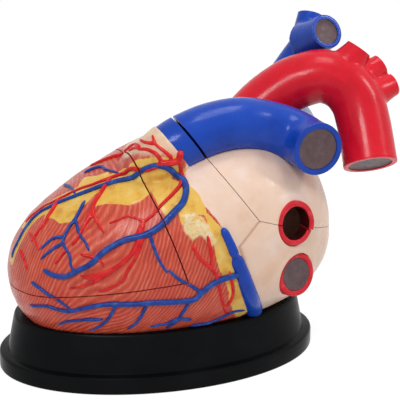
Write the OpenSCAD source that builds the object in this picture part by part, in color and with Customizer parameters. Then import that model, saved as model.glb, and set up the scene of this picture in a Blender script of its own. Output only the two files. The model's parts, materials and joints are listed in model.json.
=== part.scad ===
// Jumbo anatomical heart on an oval stand, in millimetres.
// X runs from the apex to the great vessels, -Y is the heart's left side, Z is up.
// The origin is the centre of the stand's flat underside.
// The heart opens in two places: a cover over both ventricles lifts towards the apex,
// and the atrial roof with the great vessels lifts the other way.

/* [Stand] */
// Length of the oval stand at its foot
stand_length = 317; // [290:1:350]
// Width of the oval stand at its foot
stand_width = 205; // [185:1:235]
// Height of the stand, from the table to its rim
stand_height = 54; // [48:1:60]
// Height of the lower step of the stand
step_height = 17; // [12:1:22]
// Width of the ledge between the two tiers
ledge_width = 8.5; // [6:0.5:11]
// How far the upper tier leans in on its way to the rim
stand_lean = 7.5; // [4:0.5:11]
// Wall of the moulded stand
stand_wall = 4; // [3:0.5:5]
// Thickness of the bottom plate
plate_thickness = 3; // [2:0.5:4]
// Diameter of the screws that hold the heart down
heart_screw_d = 5; // [4:0.5:6]
// How far those screws reach into the heart
screw_bite = 14; // [10:1:16]
// Diameter of the bottom plate's small screws
plate_screw_d = 3; // [2.5:0.5:4]

/* [Heart] */
// Length of the heart from its apex to the back of the atria
heart_length = 321; // [300:1:340]
// Width of the heart across its middle
heart_width = 200; // [186:1:214]
// Height of the heart at its middle
heart_height = 192; // [180:1:204]
// Outer wall round the left ventricle
left_wall = 19; // [14:1:24]
// Outer wall round the right ventricle
right_wall = 12; // [9:1:15]
// Wall between the two ventricles
septum = 14; // [11:1:17]
// Outer wall round the atria
atrial_wall = 9; // [6:1:12]
// Gap of the seams between the pieces
seam = 0.4; // [0.2:0.1:0.8]
// Gap between pieces that sit in each other
fit = 0.3; // [0.2:0.05:0.5]

/* [Vessels] */
// Outer diameter of the aorta
aorta_d = 53; // [48:1:56]
// Outer diameter of the pulmonary trunk
trunk_d = 50; // [44:1:52]
// Length of the trunk's short root, which stays on the heart
root_length = 18; // [14:1:22]
// Outer diameter of the right pulmonary artery
right_pulmonary_d = 38; // [32:1:42]
// Outer diameter of the superior vena cava
cava_d = 34; // [28:1:38]
// Outer diameter of the inferior vena cava
lower_cava_d = 36; // [30:1:40]
// Wall of the great vessels
vessel_wall = 5; // [3.5:0.5:6]
// Outer diameter of the rings round the pulmonary veins
vein_ring_d = 43; // [38:1:46]
// Wall of those rings
vein_ring_wall = 5.5; // [4:0.5:7]
// How far those rings stand out of the atria
vein_ring_proud = 3; // [1:0.5:6]
// Thickness of the dark discs that close the cut vessels
disc_thickness = 3; // [2:0.5:4]
// How far those discs lie below the rims
disc_recess = 1; // [0.5:0.5:2]

/* [Coronary vessels] */
// Width of the main coronary arteries
artery_d = 5.4; // [4:0.2:7]
// Width of the great cardiac vein
cardiac_vein_d = 7.6; // [6:0.2:9]
// Width of the coronary sinus at its lower end
sinus_d = 19; // [15:1:22]
// Share of a coronary vessel that stands above the surface
relief = 0.7; // [0.55:0.05:0.9]

/* [Valves] */
// Diameter of the opening of the mitral valve
mitral_d = 40; // [36:1:42]
// Diameter of the opening of the tricuspid valve
tricuspid_d = 44; // [38:1:46]
// Length of the leaflets of those two valves
leaflet_length = 17; // [13:1:20]
// Thickness of all the leaflets
leaflet_thickness = 1.6; // [1.2:0.2:2.2]
// Diameter of the tendinous cords
cord_d = 1.8; // [1.4:0.2:2.4]

/* [Pins and magnets] */
// Diameter of the pins that guide the two lift-off pieces
pin_d = 8; // [6:0.5:9]
// How far each pin stands out on either side of its seam
pin_reach = 12; // [9:1:14]
// Diameter of the magnets in the seams
magnet_d = 8; // [6:0.5:9]
// Thickness of those magnets
magnet_thickness = 3; // [2:0.5:4]

/* [Hidden] */

muscle_red = "#cf5a44";
atrium_pink = "#f2d0b8";
artery_red = "#e21a2c";
vein_blue = "#1646b0";
disc_grey = "#5b4c4c";
valve_ivory = "#f1e3c4";
stand_black = "#161616";
steel_grey = "#b8b8bc";

// The heart was drawn at these sizes; at() carries a drawn point to its real place.
drawn_length = 321;
drawn_width = 200;
drawn_height = 192;
drawn_rim = 54;
function at(p) = [p[0] * heart_length / drawn_length, p[1] * heart_width / drawn_width,
  stand_height + (p[2] - drawn_rim) * heart_height / drawn_height];
function all_at(points) = [for (p = points) at(p)];
function unit(v) = v / norm(v);
// Direction between two places once they have been carried over
function way(from, to) = unit(at(to) - at(from));

// Smooth curve through evenly spaced values, t runs from 0 to 1
function spline(v, t) =
  let (n = len(v) - 1, s = min(max(t * n, 0), n - 0.000001), i = floor(s), f = s - i,
    a = i > 0 ? v[i - 1] : 2 * v[0] - v[1], b = v[i], c = v[i + 1],
    d = i + 2 <= n ? v[i + 2] : 2 * v[n] - v[n - 1])
  0.5 * (2 * b + (c - a) * f + (2 * a - 5 * b + 4 * c - d) * f * f
    + (3 * b - a - 3 * c + d) * f * f * f);
function curve(points, steps) =
  [for (i = [0 : steps * (len(points) - 1)]) spline(points, i / (steps * (len(points) - 1)))];

// The heart's outline as sections across X. Each list runs from the apex to the atria.
apex_x = -148;
atria_x = 173;
middle_y = [-5, -4, -3, -2, 0, 0, 0, -5, -8];
middle_z = [98, 100, 105, 111, 118, 124, 126, 124, 122];
left_half = [114, 114, 101, 98, 100, 104, 106, 108, 108];
right_half = [112, 112, 100, 98, 100, 104, 106, 108, 108];
top_half = [92, 92, 90, 96, 106, 114, 122, 126, 124];
bottom_half = [108, 108, 96, 87, 86, 90, 102, 112, 112];
top_roundness = [2, 2, 2, 2, 2, 2.1, 2.2, 2.4, 2.4];
bottom_roundness = [2, 2.1, 2.4, 2.6, 2.6, 2.6, 2.6, 2.4, 2.4];
surface_gap = 0.1;
heart_rings = 22;
heart_sides = 26;

// Point of the heart's surface. u runs from the apex, 0, to the atria, 1, and v is the
// angle round the X axis: 0 left, 90 top, 180 right, 270 bottom. inset moves it inwards.
function on_heart(u, v, inset = 0) =
  let (s = sin(180 * u), c = cos(v), h = sin(v),
    across = heart_width / drawn_width, up = heart_height / drawn_height,
    x0 = at([apex_x, 0, 0])[0] + inset, x1 = at([atria_x, 0, 0])[0] - inset,
    wide = s * (spline(c > 0 ? left_half : right_half, u) * across - inset),
    high = s * (spline(h > 0 ? top_half : bottom_half, u) * up - inset),
    n = spline(h > 0 ? top_roundness : bottom_roundness, u),
    k = pow(pow(abs(c), n) + pow(abs(h), n), -1 / n),
    middle = at([0, spline(middle_y, u), spline(middle_z, u)]))
  [x0 + (x1 - x0) * (1 - cos(180 * u)) / 2, middle[1] - wide * c * k, middle[2] + high * h * k];
function surface_normal(u, v) =
  let (along = on_heart(u + 0.01, v) - on_heart(u - 0.01, v),
    round = on_heart(u, v + 2) - on_heart(u, v - 2))
  unit(cross(along, round));

module heart_solid(inset = 0, rings = heart_rings, sides = heart_sides) {
  loops = [for (i = [1 : rings - 1]) for (j = [0 : sides - 1])
    on_heart(i / rings, j * 360 / sides, inset)];
  count = len(loops);
  function id(i, j) = (i - 1) * sides + j % sides;
  polyhedron(
    points = concat(loops, [on_heart(0, 0, inset), on_heart(1, 0, inset)]),
    faces = concat(
      [for (i = [1 : rings - 2]) for (j = [0 : sides - 1])
        each [[id(i, j), id(i + 1, j + 1), id(i + 1, j)], [id(i, j), id(i, j + 1), id(i + 1, j + 1)]]],
      [for (j = [0 : sides - 1]) [count, id(1, j + 1), id(1, j)]],
      [for (j = [0 : sides - 1]) [count + 1, id(rings - 1, j), id(rings - 1, j + 1)]]),
    convexity = 6);
}

// Tube along the points of path; radii and ups hold one value for each point.
module sweep(path, radii, ups, sides) {
  last = len(path) - 1;
  loops = [for (i = [0 : last])
    let (t = unit(path[min(i + 1, last)] - path[max(i - 1, 0)]),
      side = unit(cross(ups[i], t)), top = cross(t, side))
    for (j = [0 : sides - 1])
      path[i] + radii[i] * (cos(j * 360 / sides) * side + sin(j * 360 / sides) * top)];
  polyhedron(
    points = loops,
    faces = concat(
      [for (i = [0 : last - 1]) for (j = [0 : sides - 1])
        let (a = i * sides + j, b = i * sides + (j + 1) % sides)
        each [[a, b + sides, b], [a, a + sides, b + sides]]],
      [[for (j = [0 : sides - 1]) j], [for (j = [0 : sides - 1]) last * sides + sides - 1 - j]]),
    convexity = 6);
}
// Tube of one radius along drawn places
vessel_sides = 16;
module pipe(places, r, up) {
  path = all_at(places);
  sweep(path, [for (p = path) r], [for (p = path) up], vessel_sides);
}
// A route carried on past its start and its end by a share of its first and last leg
function carried(route, start, end) =
  let (n = len(route) - 1) concat([route[0] + start * (route[0] - route[1])],
    [for (i = [1 : n - 1]) route[i]], [route[n] + end * (route[n] - route[n - 1])]);
// Largest circle inside a tube of diameter d
function clear_d(d) = d * cos(180 / vessel_sides) - 2 * fit;
// Its children as one moulded skin
module moulded() { resize([0, 0, 0]) union() children(); }
// Places its children with their Z axis along direction
module aim(place, direction) {
  d = unit(direction);
  translate(place) rotate([0, acos(d[2]), atan2(d[1], d[0])]) children();
}
module egg(middle, radii, grow = 0) {
  scale_x = heart_length / drawn_length;
  scale_y = heart_width / drawn_width;
  scale_z = heart_height / drawn_height;
  translate(at(middle))
    scale([radii[0] * scale_x + grow, radii[1] * scale_y + grow, radii[2] * scale_z + grow])
      sphere(r = 1, $fn = 16);
}

// Seams, as places in the XZ plane. The cover lies above the first line and left of it,
// the roof above the second line, and the glued joint of the two lower mouldings runs
// down from the roof's corner along the groove between ventricles and atria.
far_x = 300; // past the atria
clear_z = 400; // above the vessels
below_z = -20; // under the stand
cover_seam = [[-199, 85], [1, 107], [-63, 296]];
roof_seam = [[-27, 294], [73, 157], [far_x, 83]];
glue_line = [[73, 157], [51, 136], [82, 35]];
function flat(points) = [for (p = points) let (q = at([p[0], 0, p[1]])) [q[0], q[2]]];
module slab(points, grow) {
  rotate([90, 0, 0]) linear_extrude(height = 2 * heart_width, center = true)
    offset(delta = grow) polygon(flat(points));
}
module cover_space(grow = 0) { slab(concat([[cover_seam[0][0], cover_seam[2][1]]], cover_seam), grow); }
// The root of the pulmonary trunk starts at a plane that runs beside the roof's seam.
module root_space(grow = 0) {
  translate(-root_length * seam_normal(roof_seam)) roof_space(grow);
}
module roof_space(grow = 0) {
  slab(concat(roof_seam, [[far_x, clear_z], [roof_seam[0][0], clear_z]]), grow);
}
module atrial_space() {
  slab(concat(glue_line, [[glue_line[2][0], below_z], [far_x, below_z], roof_seam[2]]), 0);
}

cover_way = [-0.5, 0, 0.866];
roof_way = [0.62, 0, 0.785];
function seam_normal(line) =
  let (a = flat(line)[0], b = flat(line)[1]) unit([a[1] - b[1], 0, b[0] - a[0]]);
// Height of a seam line over a drawn x
function on_line(line, x, y) =
  [x, y, line[0][1] + (line[1][1] - line[0][1]) * (x - line[0][0]) / (line[1][0] - line[0][0])];

// Chambers
left_ventricle = [[-38, -32, 98], [88, 46, 52]];
right_ventricle = [[-22, 28, 128], [76, 60, 64]];
left_atrium = [[106, -42, 140], [48, 38, 66]];
right_atrium = [[104, 50, 138], [46, 36, 64]];
module inside_wall(wall) { heart_solid(wall, heart_rings / 2, heart_sides / 2); }
module left_ventricle_space(shrink = 0) {
  intersection() {
    egg(left_ventricle[0], left_ventricle[1], -shrink);
    inside_wall(left_wall + shrink);
  }
}
// Room that the aorta and the wall round it take from the chambers
module aorta_wall() { pipe(carried(aorta_route, 0.35, 0), aorta_d / 2 + vessel_wall, side_up); }
module right_ventricle_space(shrink = 0) {
  difference() {
    intersection() {
      egg(right_ventricle[0], right_ventricle[1], -shrink);
      inside_wall(right_wall + shrink);
    }
    egg(left_ventricle[0], left_ventricle[1], septum + shrink);
    aorta_wall();
  }
}
module atrium_space(room) {
  difference() {
    intersection() {
      egg(room[0], room[1]);
      inside_wall(atrial_wall);
    }
    aorta_wall();
    great_vessel(trunk_route, trunk_d / 2 + vessel_wall);
  }
}

// Great vessels: places along their middle lines
aorta_route = [[26, -12, 142], [58, 6, 178], [86, 14, 210], [112, 18, 236], [138, 15, 255],
  [156, 10, 263], [173, 5, 266], [191, -3, 259], [202, -12, 244], [205, -22, 226], [205, -34, 206],
  [204, -46, 187]];
trunk_route = [[-26, 4, 168], [-12, -32, 202], [4, -40, 220], [22, -40, 229], [46, -37, 235],
  [73, -36, 237], [97, -34, 232], [116, -38, 226], [128, -48, 221], [133, -62, 218], [135, -80, 218]];
outflow_left = [[8, -22, 118], [26, -12, 142], [58, 6, 178]];
right_pulmonary_route = [[128, -46, 219], [142, -12, 212], [156, 24, 207], [168, 60, 204], [172, 76, 203]];
cava_route = [[92, 64, 176], [114, 64, 202], [138, 64, 232], [159, 64, 259], [173, 61, 279],
  [181, 55, 291]];
// Side branches: start, end and outer diameter
brachiocephalic_left = [[176, 58, 289], [184, 25, 306], 34];
brachiocephalic_right = [[174, 60, 282], [186, 74, 313], 26];
arch_branches = [[[186, 1, 262], [209, 2, 292], 25], [[195, -4, 254], [232, 0, 275], 20],
  [[202, -12, 243], [243, -6, 255], 22]];
arch_flare = 1.9;
vein_wall = 0.8 * vessel_wall;
branch_wall = 0.6 * vessel_wall;
side_up = [0, 1, 0];
above = [0, 0, 1];
module great_vessel(route, r) { pipe(route, r, route == trunk_route ? above : side_up); }
module branch(b, wall = 0, past = 0, flare = 1) {
  a = at(b[0]);
  d = at(b[1]) - a;
  bore = b[2] - 2 * wall;
  aim(a, d) cylinder(h = norm(d) + past, d1 = bore + (flare - 1) * b[2], d2 = bore, $fn = vessel_sides);
}

// Vein rings: place on the surface as [u, v] and direction
left_upper_vein = [0.713, 13, [0.3, -0.93, 0.15]];
left_lower_vein = [0.72, -23, [0.3, -0.93, 0.1]];
right_upper_vein = [0.82, 150, [0.72, 0.6, 0.34]];
right_lower_vein = [0.8, 204, [0.72, 0.66, -0.1]];
lower_cava = [0.7, 196, [0.3, 0.94, -0.12]];
ring_depth = 12;
module vein_ring(vein, d = vein_ring_d, wall = vein_ring_wall) {
  aim(on_heart(vein[0], vein[1]), vein[2]) translate([0, 0, -ring_depth])
    difference() {
      cylinder(h = ring_depth + vein_ring_proud, d = d);
      translate([0, 0, -1]) cylinder(h = ring_depth + vein_ring_proud + 2, d = d - 2 * wall);
    }
}
module vein_bore(vein, d = vein_ring_d, deep = ring_depth + 14) {
  aim(on_heart(vein[0], vein[1]), vein[2]) {
    translate([0, 0, -ring_depth - fit]) cylinder(h = 60, d = d + 2 * fit);
    translate([0, 0, -deep]) cylinder(h = deep, d = d - 2 * vein_ring_wall);
  }
}
module vein_disc(vein, d = vein_ring_d, wall = vein_ring_wall) {
  aim(on_heart(vein[0], vein[1]), vein[2])
    translate([0, 0, vein_ring_proud - disc_recess - disc_thickness])
      cylinder(h = disc_thickness, d = d - 2 * wall - 0.1);
}

// Coronary vessels as [share of the length in percent, angle v] along the surface
great_vein = [[6, 80], [12, 86], [18, 90], [24, 82], [29, 74], [34, 69], [38, 65], [42, 60],
  [46, 55], [48.5, 50], [49, 44], [48, 37], [46, 33], [43, 28], [40, 26], [36, 26.5], [32, 23],
  [29, 17], [26, 14], [23, 11], [20, 14], [17, 22]];
vein_twigs = [
  [[30.5, 65], [28, 56], [25, 48], [23.5, 40], [24.5, 28], [24.5, 20], [25, 14]],
  [[23.5, 40], [20, 38], [16.5, 34]],
  [[24, 45], [21, 48], [17, 45]],
  [[27.5, 54], [27.5, 42], [28.5, 33], [29, 26]],
  [[33, 98], [36, 90], [36.5, 82], [38.5, 70]],
  [[28.5, 104], [29, 90], [29.2, 76]],
  [[41, 27], [41.5, 18], [42.5, 9], [43.8, 2]]];
crossing_vein = [[44, 4], [46, -3], [48, -8], [50, -14]];
middle_vein = [[12, -29], [17, -19], [21, -20], [24, -20], [28, -16], [32, -14], [36.5, -15], [41.5, -16],
  [46.5, -18], [49, -18], [50.5, -14], [52.5, -10], [55, -8], [57.5, -8]];
body_vein_twigs = [
  [[12.5, 9], [17, -3], [20.5, -10], [24, -18]],
  [[34, -15], [32, -28], [29, -39]],
  [[40, -16], [38.5, -28], [36.5, -36]],
  [[48, -20], [48, -31], [46.5, -40]],
  [[31.5, -26], [27, -28], [22, -38]],
  [[49, -35], [53.5, -40], [57, -38], [60, -39]]];
descending_artery = [[50.5, 60], [47.5, 61], [44, 63], [40, 69], [37, 71], [33.5, 74], [30, 79],
  [26, 84], [21, 94], [16, 100]];
artery_twigs = [
  [[49.5, 60], [49, 52], [48, 47], [46.5, 43], [44, 40], [42, 38], [40, 35], [37.5, 29]],
  [[45, 62], [44, 72], [42, 84], [41, 99], [39, 112]],
  [[43, 78], [40, 90], [37, 98], [35, 106]],
  [[36.5, 71], [34, 64], [31.5, 56], [31.5, 46], [32.5, 35]],
  [[31.2, 55], [29, 46], [25.5, 34]],
  [[39.5, 32], [39, 25], [37, 17], [32.5, 10], [27, 8]],
  [[26, 84], [23, 76], [20, 70], [15, 62]]];
body_artery_twigs = [
  [[48.5, 14], [50, 6], [52.5, -2], [53.5, -12], [54.5, -24], [56, -37]],
  [[51.5, 17], [52, 9], [52.2, 0]],
  [[55.5, -4], [56.5, -20], [55.6, -30]]];
// The far side's vessels, which lie in the grooves as a heart's do
right_artery = [[56, 112], [58, 130], [58, 150], [57, 172], [56, 195], [54, 212]];
back_artery = [[55, 208], [46, 216], [36, 222], [27, 228], [20, 236]];
marginal_artery = [[56, 170], [46, 160], [36, 152], [27, 150]];
small_vein = [[60, 128], [60, 150], [59.5, 175], [58.5, 200]];
back_vein = [[57, 214], [47, 222], [37, 229], [28, 236]];
marginal_vein = [[55, 144], [46, 140], [37, 134], [29, 132]];

// Vessel in relief along the surface: half a round tube that lies on it, from radius r0 to
// radius r1, with its top in n flats
module coronary(route, r0, r1, n = 4) {
  last = len(route) - 1;
  function spot(i) = on_heart(route[i][0] / 100, route[i][1]);
  // How far the surface bulges over the straight line between two places
  function bulge(i) = let (m = (route[i] + route[i + 1]) / 2)
    norm(on_heart(m[0] / 100, m[1]) - (spot(i) + spot(i + 1)) / 2);
  function bulge_at(i) = max(bulge(max(i - 1, 0)), bulge(min(i, last - 1)));
  loops = [for (i = [0 : last])
    let (out = surface_normal(route[i][0] / 100, route[i][1]),
      side = unit(cross(out, spot(min(i + 1, last)) - spot(max(i - 1, 0)))),
      r = r0 + (r1 - r0) * i / last)
    for (j = [0 : n]) spot(i) + r * cos(180 * j / n) * side
      + (surface_gap + bulge_at(i) + 2 * relief * r * sin(180 * j / n)) * out];
  sides = n + 1;
  polyhedron(
    points = loops,
    faces = concat(
      [for (i = [0 : last - 1]) for (j = [0 : n])
        let (a = i * sides + j, b = i * sides + (j + 1) % sides)
        each [[a, b + sides, b], [a, a + sides, b + sides]]],
      [[for (j = [0 : n]) j], [for (j = [0 : n]) last * sides + n - j]]),
    convexity = 6);
}
module veins() {
  r = cardiac_vein_d / 2;
  coronary(great_vein, r * 0.45, r * 0.75);
  for (t = vein_twigs) coronary(t, r * 0.55, r * 0.4);
  coronary(crossing_vein, r * 0.45, r * 0.6);
  coronary(middle_vein, r * 0.5, r * 0.85);
  for (t = body_vein_twigs) coronary(t, r * 0.6, r * 0.45);
  coronary(small_vein, r * 0.7, r);
  coronary(back_vein, r * 0.9, r * 0.5);
  coronary(marginal_vein, r * 0.7, r * 0.4);
}
module arteries() {
  r = artery_d / 2;
  coronary(descending_artery, r * 1.1, r * 0.6);
  for (t = artery_twigs) coronary(t, r * 0.8, r * 0.5);
  for (t = body_artery_twigs) coronary(t, r * 0.8, r * 0.6);
  coronary(right_artery, r * 1.1, r * 0.9);
  coronary(back_artery, r * 0.9, r * 0.5);
  coronary(marginal_artery, r * 0.9, r * 0.5);
}
module sinus_main() {
  coronary([[54.5, 19], [55.7, 11], [56.8, 3]], sinus_d * 0.24, sinus_d * 0.27, 6);
  coronary([[56.8, 4], [58.5, -10], [60, -23], [62.3, -40], [64, -56]], sinus_d * 0.36, sinus_d * 0.5, 6);
}

// Pins and magnets: the seam they cross, and their place on it
cover_pin_places = [on_line(cover_seam, -110, 30), on_line(cover_seam, -20, -87)];
roof_pin_places = [on_line([roof_seam[1], roof_seam[2]], 118, 5), on_line(roof_seam, 48, 52)];
lower_seam = [cover_seam[0], cover_seam[1]];
steep_seam = [cover_seam[1], cover_seam[2]];
roof_steep = [roof_seam[0], roof_seam[1]];
roof_flat = [roof_seam[1], roof_seam[2]];
cover_magnet_places = [[lower_seam, -126, -5], [lower_seam, -40, 20], [steep_seam, -30, 14]];
roof_magnet_places = [[roof_flat, 152, 2], [roof_steep, 50, -58]];
module pins(places, direction, d, reach) {
  for (p = places) aim(at(p) - direction * reach, direction) cylinder(h = 2 * reach, d = d);
}
// Magnets on one side of a seam: side is 1 above it and -1 below it
module magnets(places, side) {
  for (m = places) aim(at(on_line(m[0], m[1], m[2])), side * seam_normal(m[0]))
    translate([0, 0, seam / 2]) cylinder(h = magnet_thickness, d = magnet_d);
}
module magnet_pockets(places, side) {
  for (m = places) aim(at(on_line(m[0], m[1], m[2])), side * seam_normal(m[0]))
    translate([0, 0, -1]) cylinder(h = 1 + seam / 2 + magnet_thickness + 0.1, d = magnet_d + 0.2);
}

// Valve places and directions, pointing downstream towards the ventricle or vessel
mitral_place = [60, -34, 108];
tricuspid_place = [60, 46, 118];
valve_way = [-0.96, 0, -0.28];
module valve_tunnel(place, d) {
  aim(at(place) - 24 * valve_way, valve_way) cylinder(h = 52, d = d, $fn = 40);
}
leaflet_taper = 0.62;
valve_ring = 3;
module inlet_valve(place, d, leaflets) {
  r = d / 2 - fit;
  tip = r * leaflet_taper;
  aim(at(place), valve_way) difference() {
    union() {
      translate([0, 0, -valve_ring]) rotate_extrude($fn = 48)
        polygon([[r - valve_ring, 0], [r, 0], [r, 2 * valve_ring], [r - valve_ring + 0.5, 2 * valve_ring]]);
      rotate_extrude($fn = 48) polygon([[r - valve_ring, 1], [r - valve_ring + 1, 1],
        [tip, leaflet_length], [tip - leaflet_thickness, leaflet_length]]);
    }
    for (i = [0 : leaflets - 1]) rotate([0, 0, 90 + i * 360 / leaflets])
      translate([0, -cusp_slot, leaflet_length * 0.35]) cube([d, 2 * cusp_slot, leaflet_length]);
  }
}
// Three cusps that meet in the middle of a short sleeve, bellied upstream
cusp_slot = 0.8;
valve_sleeve = 1.6;
module outlet_valve(route, leg, share, bore) {
  from = at(route[leg]);
  to = at(route[leg + 1]);
  r = bore / 2 - fit;
  belly = 0.45 * r;
  cusp = [for (i = [0 : 6]) let (t = i / 6) [(r - valve_sleeve) * (1 - t) + 0.5, belly * t * t - belly]];
  aim(from + share * (to - from), to - from) {
    rotate_extrude($fn = 48)
      polygon([[r - valve_sleeve, -belly], [r, -belly], [r, 3], [r - valve_sleeve, 3]]);
    difference() {
      rotate_extrude($fn = 48)
        polygon(concat(cusp, [for (i = [6 : -1 : 0]) cusp[i] + [0, leaflet_thickness]]));
      for (i = [0 : 2]) rotate([0, 0, 120 * i])
        translate([-0.5, -cusp_slot / 2, -2 * belly]) cube([r - valve_sleeve - 1, cusp_slot, 4 * belly]);
    }
  }
}

// Papillary muscles: places along each, from the wall to the tip
left_muscles = [[[-72, -62, 58], [-40, -54, 74], [-8, -46, 86]],
  [[-64, -6, 50], [-34, -14, 68], [-6, -22, 82]]];
right_muscles = [[[-50, 44, 62], [-28, 44, 78], [-6, 42, 90]],
  [[-58, 68, 72], [-30, 60, 84], [0, 54, 96]]];
muscle_sides = 8;
module muscles(list, r) {
  for (m = list) {
    path = curve(all_at(m), 2);
    sweep(path, [for (i = [0 : 4]) r * (1.5 - 0.2 * i)], [for (p = path) above], muscle_sides);
  }
}
// Three cords from each tip, each to a place of its own on the lower rim of the leaflets
module cords(list, valve, d) {
  rim = (d / 2 - fit) * leaflet_taper - leaflet_thickness / 2;
  middle = at(valve) + valve_way * leaflet_length;
  down = cross(valve_way, side_up);
  for (m = [0 : 1]) for (i = [0 : 2]) {
    tip = at(list[m][2]);
    ahead = unit(tip - at(list[m][1]));
    start = tip + ahead * cord_d / 2 + [0, 1.4 * cord_d * (i - 1), 0];
    angle = 20 + 28 * (3 * m + i);
    end = middle + rim * (sin(angle) * down - cos(angle) * side_up) + valve_way * fit;
    aim(start, end - start) cylinder(h = norm(end - start) - fit, d = cord_d);
  }
}

// Stand: ovals given by how far each lies inside the foot, and its height
stand_sides = 28;
hollow_sides = 14;
module oval_stack(rings, sides = stand_sides) {
  last = len(rings) - 1;
  polyhedron(
    points = [for (g = rings) for (j = [0 : sides - 1])
      [(stand_length / 2 - g[0]) * cos(j * 360 / sides),
       (stand_width / 2 - g[0]) * sin(j * 360 / sides), g[1]]],
    faces = concat(
      [for (i = [0 : last - 1]) for (j = [0 : sides - 1])
        let (a = i * sides + j, b = i * sides + (j + 1) % sides)
        each [[a, b + sides, b], [a, a + sides, b + sides]]],
      [[for (j = [0 : sides - 1]) j], [for (j = [0 : sides - 1]) last * sides + sides - 1 - j]]),
    convexity = 4);
}
rim_inset = ledge_width + stand_lean;
heart_screw_places = [[-78, 0, 0], [22, 0, 0], [100, 0, 0]];
boss_d = 3 * heart_screw_d;
screw_head_d = 1.9 * heart_screw_d;
screw_head_z = plate_thickness + 3;
plate_screw_places = [[-1, 0], [0, 1], [1, 0], [0, -1]];
plate_screw_length = 12;
screw_sunk = 0.2;
screw_head = 3;
function under_heart(p) = let (tries = [for (u = [0.05 : 0.01 : 0.95]) on_heart(u, 270)],
  near = [for (q = tries) if (q[0] >= p[0]) q]) near[0][2];
plate_lip = 2.4;
module stand_shell() {
  color(stand_black) difference() {
    moulded() difference() {
      oval_stack([[1.2, 0], [0, 1.5], [0, step_height - 2.5], [2, step_height],
        [ledge_width, step_height], [rim_inset - 0.6, stand_height - 2.5],
        [rim_inset + 0.6, stand_height - 0.6], [rim_inset + 2.5, stand_height]]);
      oval_stack([[plate_lip, -1], [plate_lip, plate_thickness]]);
      difference() {
        oval_stack(sides = hollow_sides, rings = [[stand_wall, plate_thickness - 0.1],
          [stand_wall, step_height - stand_wall], [ledge_width + stand_wall, step_height - stand_wall],
          [rim_inset + stand_wall, 0.7 * stand_height]]);
        heart_solid(-fit - stand_wall, heart_rings / 2, heart_sides / 2);
        for (p = heart_screw_places) translate([at(p)[0], 0, plate_thickness])
          cylinder(h = stand_height, d = boss_d, $fn = 10);
        for (p = plate_screw_places) plate_screw_at(p)
          translate([0, 0, plate_thickness]) cylinder(h = stand_height, d = 4 * plate_screw_d, $fn = 10);
      }
      heart_solid(-fit);
    }
    for (p = heart_screw_places) translate([at(p)[0], 0, 0]) {
      cylinder(h = stand_height + 10, d = heart_screw_d + 2 * fit);
      cylinder(h = screw_head_z, d = screw_head_d + 2 * fit);
    }
    for (p = plate_screw_places) plate_screw_at(p)
      cylinder(h = plate_screw_length + 1, d = plate_screw_d + 0.1);
  }
}
module plate_screw_at(p) {
  inside = stand_wall + 1.2 * plate_screw_d;
  translate([p[0] * (stand_length / 2 - inside), p[1] * (stand_width / 2 - inside), 0]) children();
}
module plate_outline() {
  a = stand_length / 2 - plate_lip - fit;
  b = stand_width / 2 - plate_lip - fit;
  step = 360 / stand_sides;
  polygon([for (j = [0 : stand_sides - 1]) [a * cos(step * j), b * sin(step * j)]]);
}
module stand_plate() {
  color(stand_black) difference() {
    linear_extrude(height = plate_thickness) plate_outline();
    for (p = heart_screw_places) translate([at(p)[0], 0, -1])
      cylinder(h = plate_thickness + 2, d = screw_head_d + 4 * fit);
    for (p = plate_screw_places) plate_screw_at(p) {
      translate([0, 0, -1]) cylinder(h = plate_thickness + 2, d = plate_screw_d + 2 * fit);
      translate([0, 0, -0.01])
        cylinder(h = 0.6 * plate_thickness, d1 = 2.4 * plate_screw_d, d2 = plate_screw_d + 2 * fit);
    }
  }
}
// Crossed slots of a screw head, from below up to height
module cross_slot(reach, wide, height) {
  for (turn = [0, 90]) rotate([0, 0, turn])
    translate([-reach, -wide / 2, -1]) cube([2 * reach, wide, height + 1]);
}
module plate_screws() {
  color(steel_grey) for (p = plate_screw_places) plate_screw_at(p) difference() {
    union() {
      translate([0, 0, screw_sunk]) {
        cylinder(h = plate_thickness / 2, d1 = 2 * plate_screw_d, d2 = plate_screw_d);
        cylinder(h = plate_screw_length - 1, d = plate_screw_d);
      }
    }
    cross_slot(0.6 * plate_screw_d, 0.2 * plate_screw_d, 0.3 * plate_screw_d);
  }
}
module heart_screws() {
  color(steel_grey) for (p = heart_screw_places) {
    top = under_heart(at(p)) + screw_bite;
    translate([at(p)[0], 0, 0]) difference() {
      union() {
        translate([0, 0, screw_head_z - 0.2 - screw_head]) cylinder(h = screw_head, d = screw_head_d);
        translate([0, 0, screw_head_z - 1]) cylinder(h = top - screw_head_z + 1, d = heart_screw_d);
      }
      cross_slot(0.6 * heart_screw_d, 1, screw_head_z - 0.4 * screw_head);
    }
  }
}
module screw_holes() {
  for (p = heart_screw_places) {
    place = at(p);
    translate([place[0], 0, 0]) cylinder(h = under_heart(place) + screw_bite + 1, d = heart_screw_d + 0.1);
  }
}

module heart_hollows() {
  left_ventricle_space();
  right_ventricle_space();
  atrium_space(left_atrium);
  atrium_space(right_atrium);
  valve_tunnel(mitral_place, mitral_d);
  valve_tunnel(tricuspid_place, tricuspid_d);
  pipe(outflow_left, aorta_d / 2 - vessel_wall, side_up);
  trunk_inner();
}
module vessel_seats() {
  great_vessel(aorta_route, aorta_d / 2 + fit);
  trunk_seat();
  pipe(cava_route, cava_d / 2 + fit, side_up);
  pipe(right_pulmonary_route, right_pulmonary_d / 2 + fit, above);
}
module ventricle_body() {
  color(muscle_red) difference() {
    moulded() difference() {
      outer_heart();
      cover_space(seam / 2);
      roof_space(seam / 2);
      atrial_space();
      heart_hollows();
      vessel_seats();
    }
    screw_holes();
    magnet_pockets(cover_magnet_places, -1);
    magnet_pockets([roof_magnet_places[1]], -1);
    pins(cover_pin_places, cover_way, pin_d + 2 * fit, pin_reach + 1);
    pins([roof_pin_places[1]], roof_way, pin_d + 2 * fit, pin_reach + 1);
  }
}
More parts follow.
